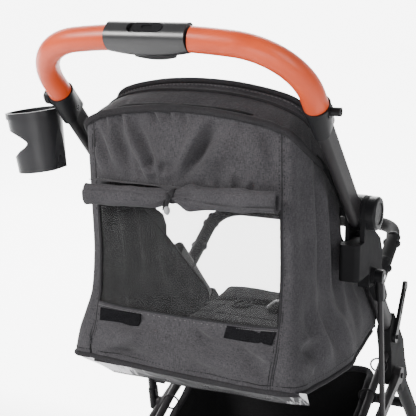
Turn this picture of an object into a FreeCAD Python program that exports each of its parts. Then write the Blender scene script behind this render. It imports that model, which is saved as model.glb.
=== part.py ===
"""Compact folding pet stroller.

Frame: X to the pusher's right, Y the way it travels, Z up, millimetres.
The origin is on the floor under the middle of the stroller's box.
"""

import FreeCAD, Part
import os
from math import atan2, cos, degrees, hypot, radians, sin, tan

os.makedirs("parts", exist_ok=True)

# driving dimensions
PIVOT_Y, PIVOT_Z = -137.0, 731.0  # main fold pivot, shared by the handle and the canopy bows
HANDLE_LEAN = 45.0  # the handle's plane leans back from upright
HANDLE_OFFSET = 14.3  # the handle's plane lies this far behind the pivot
LEG_X = 199.0  # handle leg centre
LEG_W, LEG_D, LEG_WALL = 16.0, 38.0, 1.6
LEG_TOP = 248.0  # along the handle's plane, from the pivot's foot
GRIP_START = 273.0
ARCH_START, ARCH_R, ARCH_TURN = 293.0, 97.0, 81.5
CORE_R, CORE_WALL = 11.0, 1.5
GRIP_R = 17.25
HOUSING_L, HOUSING_W = 118.0, 36.0
SLIDE_L, SLIDE_W, SLIDE_TRAVEL = 44.0, 15.0, 8.0
TRIGGER_L, TRIGGER_W = 60.0, 16.0
STUD_R, STUD_L, STUD_S = 6.0, 14.0, 262.0
CUP_R, CUP_H, CUP_X = 44.0, 95.0, -267.6
CUP_NOTCH = ((-60, 18), (-38, 25), (-19, 32), (-8, 38.5), (2, 43.5), (6.5, 49), (1.5, 55), (-8, 61), (-20, 66), (-60, 70))
PIN_R, RUN = 6.0, 0.05  # main pin radius and the running clearance of every bore
FRONT_X, FRONT_W, FRONT_D = 178.0, 22.0, 34.0
FRONT_SUM, LOWER_SUM = 587.0, 549.0  # y + z along the upper and the lower front tube
STRUT_X, STRUT_TOP, STRUT_END = 219.7, (-84.0, 618.0), (-20.43, 262.0)  # (y, z) of its two ends
RUNNER_AT = (-29.0, 310.0)  # where the strut's runner carries the rear leg
REAR_X, REAR_TOP = 197.4, (136.0, 371.0)
REAR_KNEE, REAR_FOOT = (197.4, -78.0, 292.0), (258.0, -245.0, 88.0)
REAR_WHEEL_R, REAR_WHEEL_W, REAR_WHEEL_X = 88.0, 34.0, 286.0
CASTER_Y, CASTER_TRAIL, CASTER_R, CASTER_W = 390.0, 24.0, 75.0, 28.0
CASTER_TOP = 158.0
BACK_Y = -340.0  # outer face of the cabin's rear wall
CABIN_X, CABIN_FRONT_X = 176.0, 164.0
HEM_Z, BOW_ANGLE = 503.0, 140.0
WINDOW_X, WINDOW_LOW, WINDOW_HIGH = 147.0, 585.0, 775.0
BUMPER_R, BUMPER_RISE = 12.0, 33.0
WALL = 3.0


def vec(x, y, z):
    return FreeCAD.Vector(x, y, z)


def save(name, *solids):
    """One node: one solid, or a group of separate ones."""
    for solid in solids:
        if not solid.isValid() or solid.Volume <= 0:
            print("bad solid in", name)
    shape = solids[0] if len(solids) == 1 else Part.makeCompound(list(solids))
    shape.exportStep("parts/" + name + ".step")


def mirrored(shape):
    return shape.mirror(vec(0, 0, 0), vec(1, 0, 0))


def save_pair(name, right):
    save(name + "_right", right)
    save(name + "_left", mirrored(right))


def box(x0, x1, y0, y1, z0, z1):
    return Part.makeBox(x1 - x0, y1 - y0, z1 - z0, vec(x0, y0, z0))


def rod_x(x0, x1, y, z, r):
    return Part.makeCylinder(r, x1 - x0, vec(x0, y, z), vec(1, 0, 0))


def rod_z(x, y, z0, z1, r):
    return Part.makeCylinder(r, z1 - z0, vec(x, y, z0))


def ring_x(x0, x1, y, z, r_out, r_in):
    return rod_x(x0, x1, y, z, r_out).cut(rod_x(x0 - 1, x1 + 1, y, z, r_in))


def face_of(points):
    return Part.Face(Part.makePolygon([*points, points[0]]))


def prism_x(outline, x0, x1):
    """A plate between two X planes with an outline of (y, z) points."""
    return face_of([vec(x0, y, z) for y, z in outline]).extrude(vec(x1 - x0, 0, 0))


def prism_y(outline, y0, y1):
    """A plate between two Y planes with an outline of (x, z) points."""
    return face_of([vec(x, y0, z) for x, z in outline]).extrude(vec(0, y1 - y0, 0))


def prism_z(outline, z0, z1):
    """A column between two levels with a plan of (x, y) points."""
    return face_of([vec(x, y, z0) for x, y in outline]).extrude(vec(0, 0, z1 - z0))


def rounded(points, radii):
    """Edges of a path: straight runs joined by tangent arcs."""
    edges, start = [], points[0]
    for before, corner, after, r in zip(points, points[1:], points[2:], radii):
        back = (before - corner).normalize()
        ahead = (after - corner).normalize()
        half = back.getAngle(ahead) / 2
        reach = r / tan(half)
        middle = (back + ahead).normalize()
        into, out = corner + back * reach, corner + ahead * reach
        crest = corner + middle * (r / sin(half) - r)
        edges += [Part.LineSegment(start, into).toShape(), Part.Arc(into, crest, out).toShape()]
        start = out
    return edges + [Part.LineSegment(start, points[-1]).toShape()]


def pipe(edges, r, wall=0.0):
    """A round bar along a path, or a tube where a wall is given."""
    spine = Part.Wire(edges)
    first = spine.OrderedEdges[0]
    at, along = first.valueAt(first.FirstParameter), first.tangentAt(first.FirstParameter)

    def sweep(radius):
        section = Part.Wire(Part.makeCircle(radius, at, along))
        return spine.makePipeShell([section], True, False)

    return sweep(r).cut(sweep(r - wall)) if wall else sweep(r)


def oval(w, d, length):
    """A flat-sided oval column, w along X and d along Y, standing on z = 0."""
    r, flat = min(w, d) / 2, abs(d - w) / 2
    along = vec(0, flat, 0) if d > w else vec(flat, 0, 0)
    side = vec(r, 0, 0) if d > w else vec(0, r, 0)
    tip = vec(0, r, 0) if d > w else vec(r, 0, 0)
    edges = [
        Part.LineSegment(side - along, side + along).toShape(),
        Part.Arc(side + along, along + tip, along - side).toShape(),
        Part.LineSegment(along - side, vec(0, 0, 0) - along - side).toShape(),
        Part.Arc(vec(0, 0, 0) - along - side, vec(0, 0, 0) - along - tip, side - along).toShape(),
    ]
    return Part.Face(Part.Wire(edges)).extrude(vec(0, 0, length))


def oval_tube(w, d, wall, length):
    hollow = oval(w - 2 * wall, d - 2 * wall, length + 2)
    hollow.translate(vec(0, 0, -1))
    return oval(w, d, length).cut(hollow)


def stand(shape, p, q):
    """Moves a shape modelled along +Z so that it runs from p towards q, its own X kept near X."""
    up = (q - p).normalize()
    side = vec(1, 0, 0) - up * up.x
    side.normalize()
    shape.Placement = FreeCAD.Placement(p, FreeCAD.Rotation(side, up.cross(side), up, "ZXY"))
    return shape


def on_handle(shape):
    """From the handle's own frame (X, normal, along) to its place on the stroller."""
    drop = HANDLE_OFFSET * sin(radians(HANDLE_LEAN))
    shape.rotate(vec(0, 0, 0), vec(1, 0, 0), HANDLE_LEAN)
    shape.translate(vec(0, PIVOT_Y - drop, PIVOT_Z - drop))
    return shape


def polar(angle, r, x=0.0):
    """A point at an angle and a distance from the main pivot."""
    return vec(x, PIVOT_Y + r * cos(radians(angle)), PIVOT_Z + r * sin(radians(angle)))


def smoothed(solid, r, choose=lambda edge: True):
    """Rounds the chosen edges, or leaves the solid square where the rounding fails."""
    try:
        done = solid.makeFillet(r, [e for e in solid.Edges if choose(e)])
        return done if done.isValid() and done.Volume > 0 else solid
    except Exception:
        return solid


# ---------------------------------------------------------------- handle

CENTRE_X = LEG_X - ARCH_R
TURN = radians(ARCH_TURN)
SHOULDER = vec(CENTRE_X + ARCH_R * cos(TURN), 0, ARCH_START + ARCH_R * sin(TURN))
TOP_R = SHOULDER.x / cos(TURN)
TOP_S = SHOULDER.z + TOP_R * (1 - sin(TURN))


def crown(x):
    """A point on the handle's shallow top arc."""
    return vec(x, 0, TOP_S - TOP_R + (TOP_R**2 - x**2) ** 0.5)


def arch(from_s, to_x):
    """The right half of the handle's centreline, from a leg point to a point on the top."""
    low, bend = vec(LEG_X, 0, from_s), vec(LEG_X, 0, ARCH_START)
    half = radians(ARCH_TURN / 2)
    middle = vec(CENTRE_X + ARCH_R * cos(half), 0, ARCH_START + ARCH_R * sin(half))
    return [
        Part.LineSegment(low, bend).toShape(),
        Part.Arc(bend, middle, SHOULDER).toShape(),
        Part.Arc(SHOULDER, crown((SHOULDER.x + to_x) / 2), crown(to_x)).toShape(),
    ]


def handle_core():
    half = pipe(arch(LEG_TOP + 0.4, 0), CORE_R, CORE_WALL)
    return half.fuse(mirrored(half)).removeSplitter()


def grip():
    outer = pipe(arch(GRIP_START, HOUSING_L / 2 + 1.4), GRIP_R)
    return outer.cut(pipe(arch(GRIP_START - 2, HOUSING_L / 2 - 3), CORE_R + 0.02))


def housing_block():
    """The housing's outer form: a rounded bar that swells towards the hand."""
    half, swell = HOUSING_L / 2, 8.0
    low, high = TOP_S - HOUSING_W / 2, TOP_S + HOUSING_W / 2
    edges = [
        Part.Arc(vec(-half, 0, low), vec(0, 0, low - swell), vec(half, 0, low)).toShape(),
        Part.LineSegment(vec(half, 0, low), vec(half, 0, high)).toShape(),
        Part.LineSegment(vec(half, 0, high), vec(-half, 0, high)).toShape(),
        Part.LineSegment(vec(-half, 0, high), vec(-half, 0, low)).toShape(),
    ]
    face = Part.Face(Part.Wire(edges))
    face.translate(vec(0, -HOUSING_W / 2, 0))
    solid = face.extrude(vec(0, HOUSING_W, 0))
    return smoothed(solid, 14.0, lambda e: e.BoundBox.YLength < 0.1 and e.BoundBox.XLength > 50)


def housing_shells():
    block = housing_block().cut(pipe(arch(LEG_TOP, 0), CORE_R + 0.02))
    block = block.cut(mirrored(pipe(arch(LEG_TOP, 0), CORE_R + 0.02)))
    upper = box(-80, 80, -40, 40, TOP_S, TOP_S + 60)
    recess = oval(SLIDE_L + SLIDE_TRAVEL + 0.6, SLIDE_W + 0.6, 20)
    recess.translate(vec(0, 0, TOP_S + HOUSING_W / 2 - 5.5))
    slot = box(-TRIGGER_L / 2 - 0.4, TRIGGER_L / 2 + 0.4, -TRIGGER_W / 2 - 0.4, TRIGGER_W / 2 + 0.4,
               TOP_S - 60, TOP_S - CORE_R - 0.3)
    return block.common(upper).cut(recess), block.cut(upper).cut(slot)


def slide_button():
    button = oval(SLIDE_L, SLIDE_W, 6.2)
    button = button.cut(stand(oval(16, 6, 2.4), vec(0, 0, 4.8), vec(0, 0, 9)))
    button.translate(vec(SLIDE_TRAVEL / 2, 0, TOP_S + HOUSING_W / 2 - 5.2))
    return button


def trigger():
    low = TOP_S - HOUSING_W / 2 - 19
    edges = [
        Part.Arc(vec(-TRIGGER_L / 2, 0, low + 5), vec(0, 0, low), vec(TRIGGER_L / 2, 0, low + 5)).toShape(),
        Part.LineSegment(vec(TRIGGER_L / 2, 0, low + 5), vec(TRIGGER_L / 2, 0, low + 19)).toShape(),
        Part.LineSegment(vec(TRIGGER_L / 2, 0, low + 19), vec(-TRIGGER_L / 2, 0, low + 19)).toShape(),
        Part.LineSegment(vec(-TRIGGER_L / 2, 0, low + 19), vec(-TRIGGER_L / 2, 0, low + 5)).toShape(),
    ]
    face = Part.Face(Part.Wire(edges))
    face.translate(vec(0, -TRIGGER_W / 2, 0))
    return smoothed(face.extrude(vec(0, TRIGGER_W, 0)), 2.5,
                    lambda e: e.BoundBox.ZMax < low + 6 and e.BoundBox.XLength > 50)


def leg_tube():
    """The handle's leg, its foot cut round the socket's disc."""
    tube = oval_tube(LEG_W, LEG_D, LEG_WALL, LEG_TOP)
    tube.translate(vec(LEG_X, 0, 0))
    return tube.cut(rod_x(LEG_X - 20, LEG_X + 20, HANDLE_OFFSET, 0, 27.3)).cut(box(150, 250, -40, 40, -5, 15))


def collar():
    """The plastic sleeve between the flat leg and the round grip."""
    low, high = LEG_TOP - 22, GRIP_START - 0.2
    foot = oval(LEG_W + 8, LEG_D + 8, 1).Faces
    rim = next(f for f in foot if abs(f.CenterOfMass.z) < 1e-6).OuterWire
    rim.translate(vec(LEG_X, 0, low))
    head = Part.Wire(Part.makeCircle(20, vec(LEG_X, 0, high)))
    body = Part.makeLoft([rim, head], True)
    pocket = oval(LEG_W + 0.04, LEG_D + 0.04, 24)
    pocket.translate(vec(LEG_X, 0, low - 1))
    body = body.cut(pocket).fuse(rod_x(LEG_X + 5, LEG_X + 18, 0, STUD_S, 9.5))
    body = body.cut(box(LEG_X + 18, LEG_X + 40, -15, 15, STUD_S - 15, STUD_S + 20))
    body = body.cut(rod_z(LEG_X, 0, LEG_TOP, high + 1, CORE_R + 0.02))
    body = body.cut(rod_x(LEG_X + 18, LEG_X + 40, 0, STUD_S, STUD_R + 0.2))
    return body.cut(rod_x(SCREW_X - 9, SCREW_X, 0, SCREW_S, 3.8)).cut(rod_x(SCREW_X - 1, SCREW_X + 6, 0, SCREW_S, 1.6))


SCREW_X, SCREW_S = LEG_X - 12.0, 238.0


def screw():
    return rod_x(SCREW_X - 1.8, SCREW_X, 0, SCREW_S, 3.6).fuse(rod_x(SCREW_X, SCREW_X + 3.6, 0, SCREW_S, 1.5))


def socket():
    """The handle's lower end: a disc round the main pin with a tongue inside the leg."""
    disc = rod_x(LEG_X - 9, LEG_X + 9.5, HANDLE_OFFSET, 0, 27)
    tongue = oval(LEG_W - 2 * LEG_WALL - 0.1, LEG_D - 2 * LEG_WALL - 0.1, 70)
    tongue.translate(vec(LEG_X, 0, 8))
    body = disc.fuse(tongue)
    return body.cut(rod_x(LEG_X - 20, LEG_X + 20, HANDLE_OFFSET, 0, PIN_R + RUN))


def stud():
    pin = rod_x(LEG_X + 18, LEG_X + 18 + STUD_L, 0, STUD_S, STUD_R)
    return pin.cut(rod_x(LEG_X + 24, LEG_X + 40, 0, STUD_S, 3.2))


def wire():
    """One release wire, inside the tube from the housing to the socket."""
    return pipe(arch(90, 34), 1.2)


def cup_bracket():
    """The clip on the left stud, in the handle's own frame."""
    ring = ring_x(-LEG_X - 27, -LEG_X - 19.5, 0, STUD_S, 12, STUD_R + RUN)
    arm = prism_x([(-9, STUD_S - 8), (9, STUD_S - 8), (34, STUD_S - 64), (16, STUD_S - 64)],
                  -LEG_X - 24.4, -LEG_X - 20.6)
    return ring.fuse(arm.cut(rod_x(-LEG_X - 30, -LEG_X, 0, STUD_S, STUD_R + RUN)))


def cup_profile(grow):
    """The cup's wall line, grown outwards by a distance, as a solid of revolution."""
    points = [(0, 2.5 - grow), (37 + grow, 2.5 - grow), (CUP_R - 2 + grow, CUP_H - 9), (CUP_R - 2 + grow, CUP_H + 2)]
    outline = [vec(x, 0, z) for x, z in points] + [vec(0, 0, CUP_H + 2)]
    return face_of(outline).revolve(vec(0, 0, 0), vec(0, 0, 1), 360)


def cup():
    """A mug-sized cup with a side notch, leaning slightly outwards."""
    body = cup_profile(0).fuse(rod_z(0, 0, CUP_H - 9, CUP_H, CUP_R)).common(rod_z(0, 0, -1, CUP_H, 60))
    body = body.cut(cup_profile(-2.4))
    mouth = Part.BSplineCurve()
    mouth.interpolate([vec(x, -60, z) for x, z in CUP_NOTCH])
    (low_x, low_z), (high_x, high_z) = CUP_NOTCH[0], CUP_NOTCH[-1]
    notch = [mouth.toShape(), Part.LineSegment(vec(high_x, -60, high_z), vec(low_x, -60, low_z)).toShape()]
    body = body.cut(Part.Face(Part.Wire(notch)).extrude(vec(0, 120, 0)))
    body.translate(vec(0, 0, -CUP_H))
    body.rotate(vec(0, 0, 0), vec(0, 1, 0), -7.0)
    body.rotate(vec(0, 0, 0), vec(1, 0, 0), 2.0)
    body.translate(vec(CUP_X, -312, 881))
    return body


def make_handle():
    save("handle_core_tube", on_handle(handle_core()))
    rear, front = housing_shells()
    save("housing_rear_shell", on_handle(rear))
    save("housing_front_shell", on_handle(front))
    save("fold_slide_button", on_handle(slide_button()))
    save("fold_trigger", on_handle(trigger()))
    for name, part in (("grip", grip()), ("handle_leg", leg_tube())):
        save_pair(name, on_handle(part))
    lower = on_handle(socket())
    save("handle_sockets", lower, mirrored(lower))
    both = on_handle(collar())
    save("collars", both, mirrored(both))
    pin = on_handle(stud())
    save("accessory_studs", pin, mirrored(pin))
    head = on_handle(screw())
    save("handle_screws", head, mirrored(head))
    cable = on_handle(wire())
    save("release_wires", cable, mirrored(cable))
    bracket = on_handle(cup_bracket())
    save("cup_bracket", bracket)
    save("cup_holder", cup().cut(bracket).cut(box(-LEG_X - 24.4, 0, -500, 0, 700, 1000)))


# ---------------------------------------------------------------- hubs and front frame


def front_tube_solid(hollow=True):
    top, end = vec(FRONT_X, -12, FRONT_SUM + 12), vec(FRONT_X, 165, FRONT_SUM - 165)
    length = (end - top).Length
    shape = oval_tube(FRONT_W, FRONT_D, 1.6, length) if hollow else oval(FRONT_W, FRONT_D, length)
    return stand(shape, top, end)


def front_leg_solid(hollow=True):
    top, end = vec(FRONT_X, 208, LOWER_SUM - 208), vec(FRONT_X, CASTER_Y - 8, LOWER_SUM - CASTER_Y + 8)
    length = (end - top).Length
    shape = oval_tube(FRONT_W, 30, 1.6, length) if hollow else oval(FRONT_W, 30, length)
    return stand(shape, top, end)


def hub():
    """The fixed plastic hub: two cheeks round the handle's disc, a post below and a front plate."""
    inner = rod_x(184.2, LEG_X - 9.4, PIVOT_Y, PIVOT_Z, 24)
    inner = inner.fuse(box(184.2, LEG_X - 9.4, PIVOT_Y - 22, PIVOT_Y + 22, 660, PIVOT_Z))
    outer = rod_x(LEG_X + 10, 216, PIVOT_Y, PIVOT_Z, 26.5)
    outer = outer.fuse(box(LEG_X + 10, 216, PIVOT_Y - 25, PIVOT_Y + 25, 650, PIVOT_Z))
    post = smoothed(box(184.2, 216, -188, -124, 634, 690), 8, lambda e: e.BoundBox.ZLength > 50)
    plate = prism_x([(-130, 634), (-130, 690), (-112, 702), (-78, 691), (-44, 671), (-31, 648), (-32, 622),
                     (-14, 590), (14, 556), (-8, 552), (-58, 600), (-100, 600), (-104, 634)], 189, 207)
    plate = smoothed(plate, 6, lambda e: e.BoundBox.XLength > 10)
    boss = rod_x(200, STRUT_X - 6.8, *STRUT_TOP, 13)
    body = inner.fuse([outer, post, plate, boss]).removeSplitter()
    body = body.cut(rod_x(150, 260, PIVOT_Y, PIVOT_Z, PIN_R))
    return body.cut(rod_x(150, 260, *STRUT_TOP, 4))


def hub_cover():
    dome = rod_x(216, 231, PIVOT_Y, PIVOT_Z, 26)
    dome = smoothed(dome, 4, lambda e: e.BoundBox.XMin > 230.9)
    recess = rod_x(229.6, 235, PIVOT_Y, PIVOT_Z, 17)
    return dome.cut(recess)


def elbow():
    """The black block between the upper and the lower front tube."""
    outline = [(118, 496), (94, 466), (112, 420), (118, 356), (150, 346), (180, 344), (206, 310), (236, 336),
               (210, 380), (194, 420)]
    body = smoothed(prism_x(outline, FRONT_X - 12, FRONT_X + 12), 5, lambda e: e.BoundBox.XLength > 20)
    body = body.cut(front_tube_solid(False)).cut(front_leg_solid(False))
    return body.fuse([rod_x(FRONT_X + 11.5, 199, HOOK_Y, HOOK_Z, 4), rod_x(FRONT_X + 11.5, 206, *REAR_TOP, 5)])


HOOK_Y, HOOK_Z, HOOK_TIP = 120.0, 449.0, (172.0, 530.0)


def hook():
    """A slotted transport lever on the right elbow's pin."""
    run, rise = HOOK_TIP[0] - HOOK_Y, HOOK_TIP[1] - HOOK_Z
    length = hypot(run, rise)
    bar = rod_x(0, 6, 0, 0, 11).fuse(rod_x(0, 6, 0, length, 9.5))
    bar = bar.fuse(prism_x([(-9, 0), (9, 0), (6.5, length), (-6.5, length)], 0, 6))
    slot = prism_x([(-2.6, 44), (2.6, 44), (3.4, length - 6), (-3.4, length - 6)], -1, 7)
    bar = bar.cut(slot).cut(rod_x(-1, 7, 0, 0, 4 + RUN))
    bar.rotate(vec(0, 0, 0), vec(1, 0, 0), -degrees(atan2(run, rise)))
    bar.translate(vec(190.6, HOOK_Y, HOOK_Z))
    return bar


def caster_socket():
    low = CASTER_TOP
    body = rod_z(FRONT_X, CASTER_Y, low, low + 46, 18)
    body = smoothed(body, 4, lambda e: e.BoundBox.ZMin > low + 45)
    return body.cut(front_leg_solid(False)).cut(rod_z(FRONT_X, CASTER_Y, low - 1, low + 32, PIN_R + RUN))


def footrest():
    y = 300.0
    x = FRONT_X - FRONT_W / 2
    return rod_x(-x, x, y, LOWER_SUM - y, 10)


def make_front():
    cross = footrest()
    legs = front_leg_solid().cut(rod_z(FRONT_X, CASTER_Y, 100, 300, PIN_R + 1.5))
    legs = legs.cut(box(0, 300, 300, 500, 100, CASTER_TOP))
    save("front_legs", legs, mirrored(legs), cross)
    for name, part in (("hub", hub()), ("front_tube", front_tube_solid())):
        save_pair(name, part)
    for name, part in (("hub_covers", hub_cover()), ("elbows", elbow()), ("caster_sockets", caster_socket())):
        save(name, part, mirrored(part))
    pin = rod_x(158.5, 216, PIVOT_Y, PIVOT_Z, PIN_R)
    low = rod_x(195, STRUT_X + 8, *STRUT_TOP, 4)
    save("main_pins", pin, mirrored(pin), low, mirrored(low))
    save("transport_hook", hook())


def fork():
    """The caster's fork with its swivel pin and axle in one piece."""
    y, z = CASTER_Y - CASTER_TRAIL, CASTER_R
    inner, outer = CASTER_W / 2 + 1.2, CASTER_W / 2 + 6.2
    crown_plate = box(-outer, outer, y - 16, CASTER_Y + 15, CASTER_TOP - 5.5, CASTER_TOP - 0.3)
    crown_plate = smoothed(crown_plate, 4, lambda e: e.BoundBox.ZLength > 5)
    body = crown_plate.fuse(rod_z(0, CASTER_Y, CASTER_TOP - 4, CASTER_TOP + 30, PIN_R))
    for side in (-1, 1):
        x0, x1 = sorted((side * inner, side * outer))
        arm = prism_x([(y - 12, z), (y + 12, z), (y + 30, CASTER_TOP - 0.3), (y - 14, CASTER_TOP - 0.3)], x0, x1)
        body = body.fuse(arm).fuse(rod_x(x0, x1, y, z, 12))
    body = body.fuse(rod_x(-outer, outer, y, z, 5))
    body.translate(vec(FRONT_X, 0, 0))
    return body


def wheel(x, y, r, w, bore):
    """A spoked rim and its tyre, as two solids on one axle line."""
    tyre = smoothed(ring_x(x - w / 2, x + w / 2, y, r, r, r - 15), 6, lambda e: e.BoundBox.ZMax > 2 * r - 1)
    rim = ring_x(x - w / 2 + 3, x + w / 2 - 3, y, r, r - 15, r - 22)
    nave = ring_x(x - w / 2, x + w / 2, y, r, 15, bore)
    spokes = []
    for turn in range(0, 360, 60):
        spoke = box(x - w / 2 + 6, x + w / 2 - 6, y - 5, y + 5, r + 13, 2 * r - 18)
        spoke.rotate(vec(x, y, r), vec(1, 0, 0), turn)
        spokes.append(spoke)
    return rim.fuse([nave, *spokes]).removeSplitter(), tyre


def make_wheels():
    save_pair("caster_fork", fork())
    for name, x, y, r, w, bore in (
        ("front_wheel", FRONT_X, CASTER_Y - CASTER_TRAIL, CASTER_R, CASTER_W, 5),
        ("rear_wheel", REAR_WHEEL_X, REAR_FOOT[1], REAR_WHEEL_R, REAR_WHEEL_W, 6),
    ):
        pieces = wheel(x, y, r, w, bore + RUN)
        save(name + "_right", *pieces)
        save(name + "_left", *[mirrored(p) for p in pieces])


# ---------------------------------------------------------------- rear frame


def rear_leg():
    """A bent oval tube from the elbow's pin back and down to the axle, splayed in its lower half."""
    top, knee, foot = vec(REAR_X, *REAR_TOP), vec(*REAR_KNEE), vec(*REAR_FOOT)
    body = pipe(rounded([top, knee, foot], [110]), 10.5)
    flat = box(REAR_X - 6.8, REAR_X + 6.8, -60, 200, 250, 420).fuse(box(150, 320, -320, -60, 60, 420))
    body = body.common(flat).fuse(rod_x(REAR_X - 6.8, REAR_X + 6.8, *REAR_TOP, 15))
    body = body.fuse(rod_x(REAR_X, STRUT_X - 7.3, *RUNNER_AT, 8)).removeSplitter()
    body = body.cut(rod_x(150, 250, *REAR_TOP, 5 + RUN))
    return body.cut(rod_x(200, 330, REAR_FOOT[1], REAR_FOOT[2], 6))


def along_strut(width, depth, start, end):
    """An oval bar on the strut's line, between two distances down from its top."""
    top, foot = vec(STRUT_X, *STRUT_TOP), vec(STRUT_X, *STRUT_END)
    down = (foot - top).normalize()
    return stand(oval(width, depth, end - start), top + down * start, foot)


def strut():
    """The strut that steadies the rear leg, hanging from the hub's lug."""
    length = hypot(STRUT_TOP[0] - STRUT_END[0], STRUT_TOP[1] - STRUT_END[1])
    tube = along_strut(8, 13, 0, length)
    cap = rod_x(STRUT_X - 6.5, STRUT_X + 6.5, *STRUT_TOP, 11).fuse(along_strut(13, 20, 0, 40))
    hole = rod_x(150, 260, *STRUT_TOP, 4)
    return tube.cut(hole), cap.removeSplitter().cut(tube).cut(hole)


def strut_runner():
    """The black runner that slides up the strut as the rear leg folds, with its cross grip."""
    at = hypot(STRUT_TOP[0] - RUNNER_AT[0], STRUT_TOP[1] - RUNNER_AT[1])
    sleeve = along_strut(14, 22, at - 26, at + 14).fuse(along_strut(14, 17, at - 46, at - 20))
    grip = rod_x(STRUT_X - 26, STRUT_X - 5.8, -36.6, 352, 4)
    return sleeve.fuse(grip).removeSplitter().cut(along_strut(8.6, 13.6, at - 60, at + 30))


BEAM_Y, BEAM_Z = -208.0, 133.0  # the cross beam between the rear legs


def make_rear():
    leg = rear_leg()
    save("rear_legs", leg, mirrored(leg))
    tube, cap = strut()
    save("struts", tube, mirrored(tube))
    save("strut_caps", cap, mirrored(cap))
    save_pair("strut_runner", strut_runner())
    beam = ring_x(-256, 256, BEAM_Y, BEAM_Z, 12, 10.4).cut(leg).cut(mirrored(leg))
    save("rear_beam", max(beam.Solids, key=lambda s: s.Volume))
    axle = rod_x(REAR_FOOT[0] - 6, 302, REAR_FOOT[1], REAR_FOOT[2], 6)
    save("axle_stubs", axle, mirrored(axle))
    sleeve = ring_x(150, 210, BEAM_Y, BEAM_Z, 17, 12 + 0.3)
    pad = smoothed(box(150, 210, BEAM_Y - 62, BEAM_Y - 14, BEAM_Z - 4, BEAM_Z + 4), 3,
                   lambda e: e.BoundBox.ZLength > 7)
    save("brake_pedal", sleeve.fuse(pad.cut(rod_x(140, 220, BEAM_Y, BEAM_Z, 13))))


# ---------------------------------------------------------------- cabin


def cabin_plan(x, y0, y1, corner):
    """The U-shaped plan of the rear wall, y0 at the back and y1 where the side walls start."""
    inner_x, inner_y = x - WALL, y0 + WALL
    turn = sin(radians(45))
    edges = []
    for wx, wy, r, sign in ((x, y0, corner, 1), (inner_x, inner_y, corner - WALL, -1)):
        points = [vec(-wx, y1, 0), vec(-wx, wy + r, 0), vec(-wx + r, wy, 0), vec(wx - r, wy, 0),
                  vec(wx, wy + r, 0), vec(wx, y1, 0)]
        middle_left = vec(-wx + r * (1 - turn), wy + r * (1 - turn), 0)
        middle_right = vec(wx - r * (1 - turn), wy + r * (1 - turn), 0)
        edges.append([
            Part.LineSegment(points[0], points[1]).toShape(),
            Part.Arc(points[1], middle_left, points[2]).toShape(),
            Part.LineSegment(points[2], points[3]).toShape(),
            Part.Arc(points[3], middle_right, points[4]).toShape(),
            Part.LineSegment(points[4], points[5]).toShape(),
        ])
    ends = [Part.LineSegment(vec(s * x, y1, 0), vec(s * inner_x, y1, 0)).toShape() for s in (-1, 1)]
    return Part.Face(Part.Wire(Part.__sortEdges__([*edges[0], *edges[1], *ends])))


SIDE_START = -215.0


def rear_wall():
    """The back panel, wrapped round both rear corners, with the window opening."""
    column = cabin_plan(CABIN_X, BACK_Y, SIDE_START, 35)
    column.translate(vec(0, 0, HEM_Z - 22))
    body = column.extrude(vec(0, 0, 440))
    arch_view = [(-176, 480), (-176, 770), (-171, 800), (-158, 848), (-128, 880), (-97, 893), (0, 903),
                 (97, 893), (128, 880), (158, 848), (171, 800), (176, 770), (176, 480)]
    body = body.common(prism_y(arch_view, BACK_Y - 5, SIDE_START + 5))
    behind_bow = [(BACK_Y - 5, 400), (BACK_Y - 5, 905), (-345, 897), (PIVOT_Y, PIVOT_Z - 8), (PIVOT_Y, 400)]
    body = body.common(prism_x(behind_bow, -200, 200))
    hem = [(BACK_Y - 5, HEM_Z), (SIDE_START + 5, HEM_Z - 21), (SIDE_START + 5, 400), (BACK_Y - 5, 400)]
    body = body.cut(prism_x(hem, -200, 200))
    return body.cut(box(-WINDOW_X, WINDOW_X, BACK_Y - 5, BACK_Y + 8, WINDOW_LOW, WINDOW_HIGH))


def side_wall():
    """One side panel, from the rear corner in to the seat's front, open over the hub."""
    plan = [(CABIN_X, SIDE_START + 0.2), (CABIN_X - 2, -150), (CABIN_FRONT_X, -40), (CABIN_FRONT_X, 130)]
    inner = [(x - WALL, y) for x, y in reversed(plan)]
    body = prism_z([*plan, *inner], 440, 800)
    outline = [(-216, 482), (-216, 786), (-165, 745), (-99, 700), (-60, 668), (124, 484), (118, 462), (-50, 458)]
    body = body.common(prism_x(outline, 0, 220))
    return body.cut(rod_x(150, 220, PIVOT_Y, PIVOT_Z, 34))


def floor_pan():
    """The stiff underside: a clear strip behind, then the board under the seat."""
    top = [(-331, 503), (-275, 482), (-60, 462), (58, 462)]
    low = [(y, z - 4) for y, z in reversed(top)]
    return prism_x([*top, *low], -158, 158)


def make_cabin():
    save("cabin_rear_wall", rear_wall())
    save_pair("cabin_side", side_wall())
    save("window_mesh", box(-WINDOW_X + 0.2, WINDOW_X - 0.2, BACK_Y + 0.8, BACK_Y + 2.2, WINDOW_LOW + 0.2,
                            WINDOW_HIGH - 0.2))
    roll = oval(37, 20, 304)
    roll.rotate(vec(0, 0, 0), vec(0, 1, 0), 90)
    roll.translate(vec(-152, BACK_Y - 10.3, 779))
    save("window_roll", roll)
    save("floor_pan", floor_pan())
    seat = smoothed(box(-154, 154, -80, 58, 464.4, 490), 6)
    save("seat_pad", seat)
    back = smoothed(box(-150, 150, -242, 0, 0, 22), 6)
    back.rotate(vec(0, 0, 0), vec(1, 0, 0), -10.2)
    back.translate(vec(0, -89, 466))
    save("backrest_pad", back)
    rest = smoothed(box(-152, 152, 0, 84, 0, 24), 6)
    rest.rotate(vec(0, 0, 0), vec(1, 0, 0), 8)
    rest.translate(vec(0, 62, 466))
    save("leg_rest", rest)
    save("harness", harness())


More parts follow.
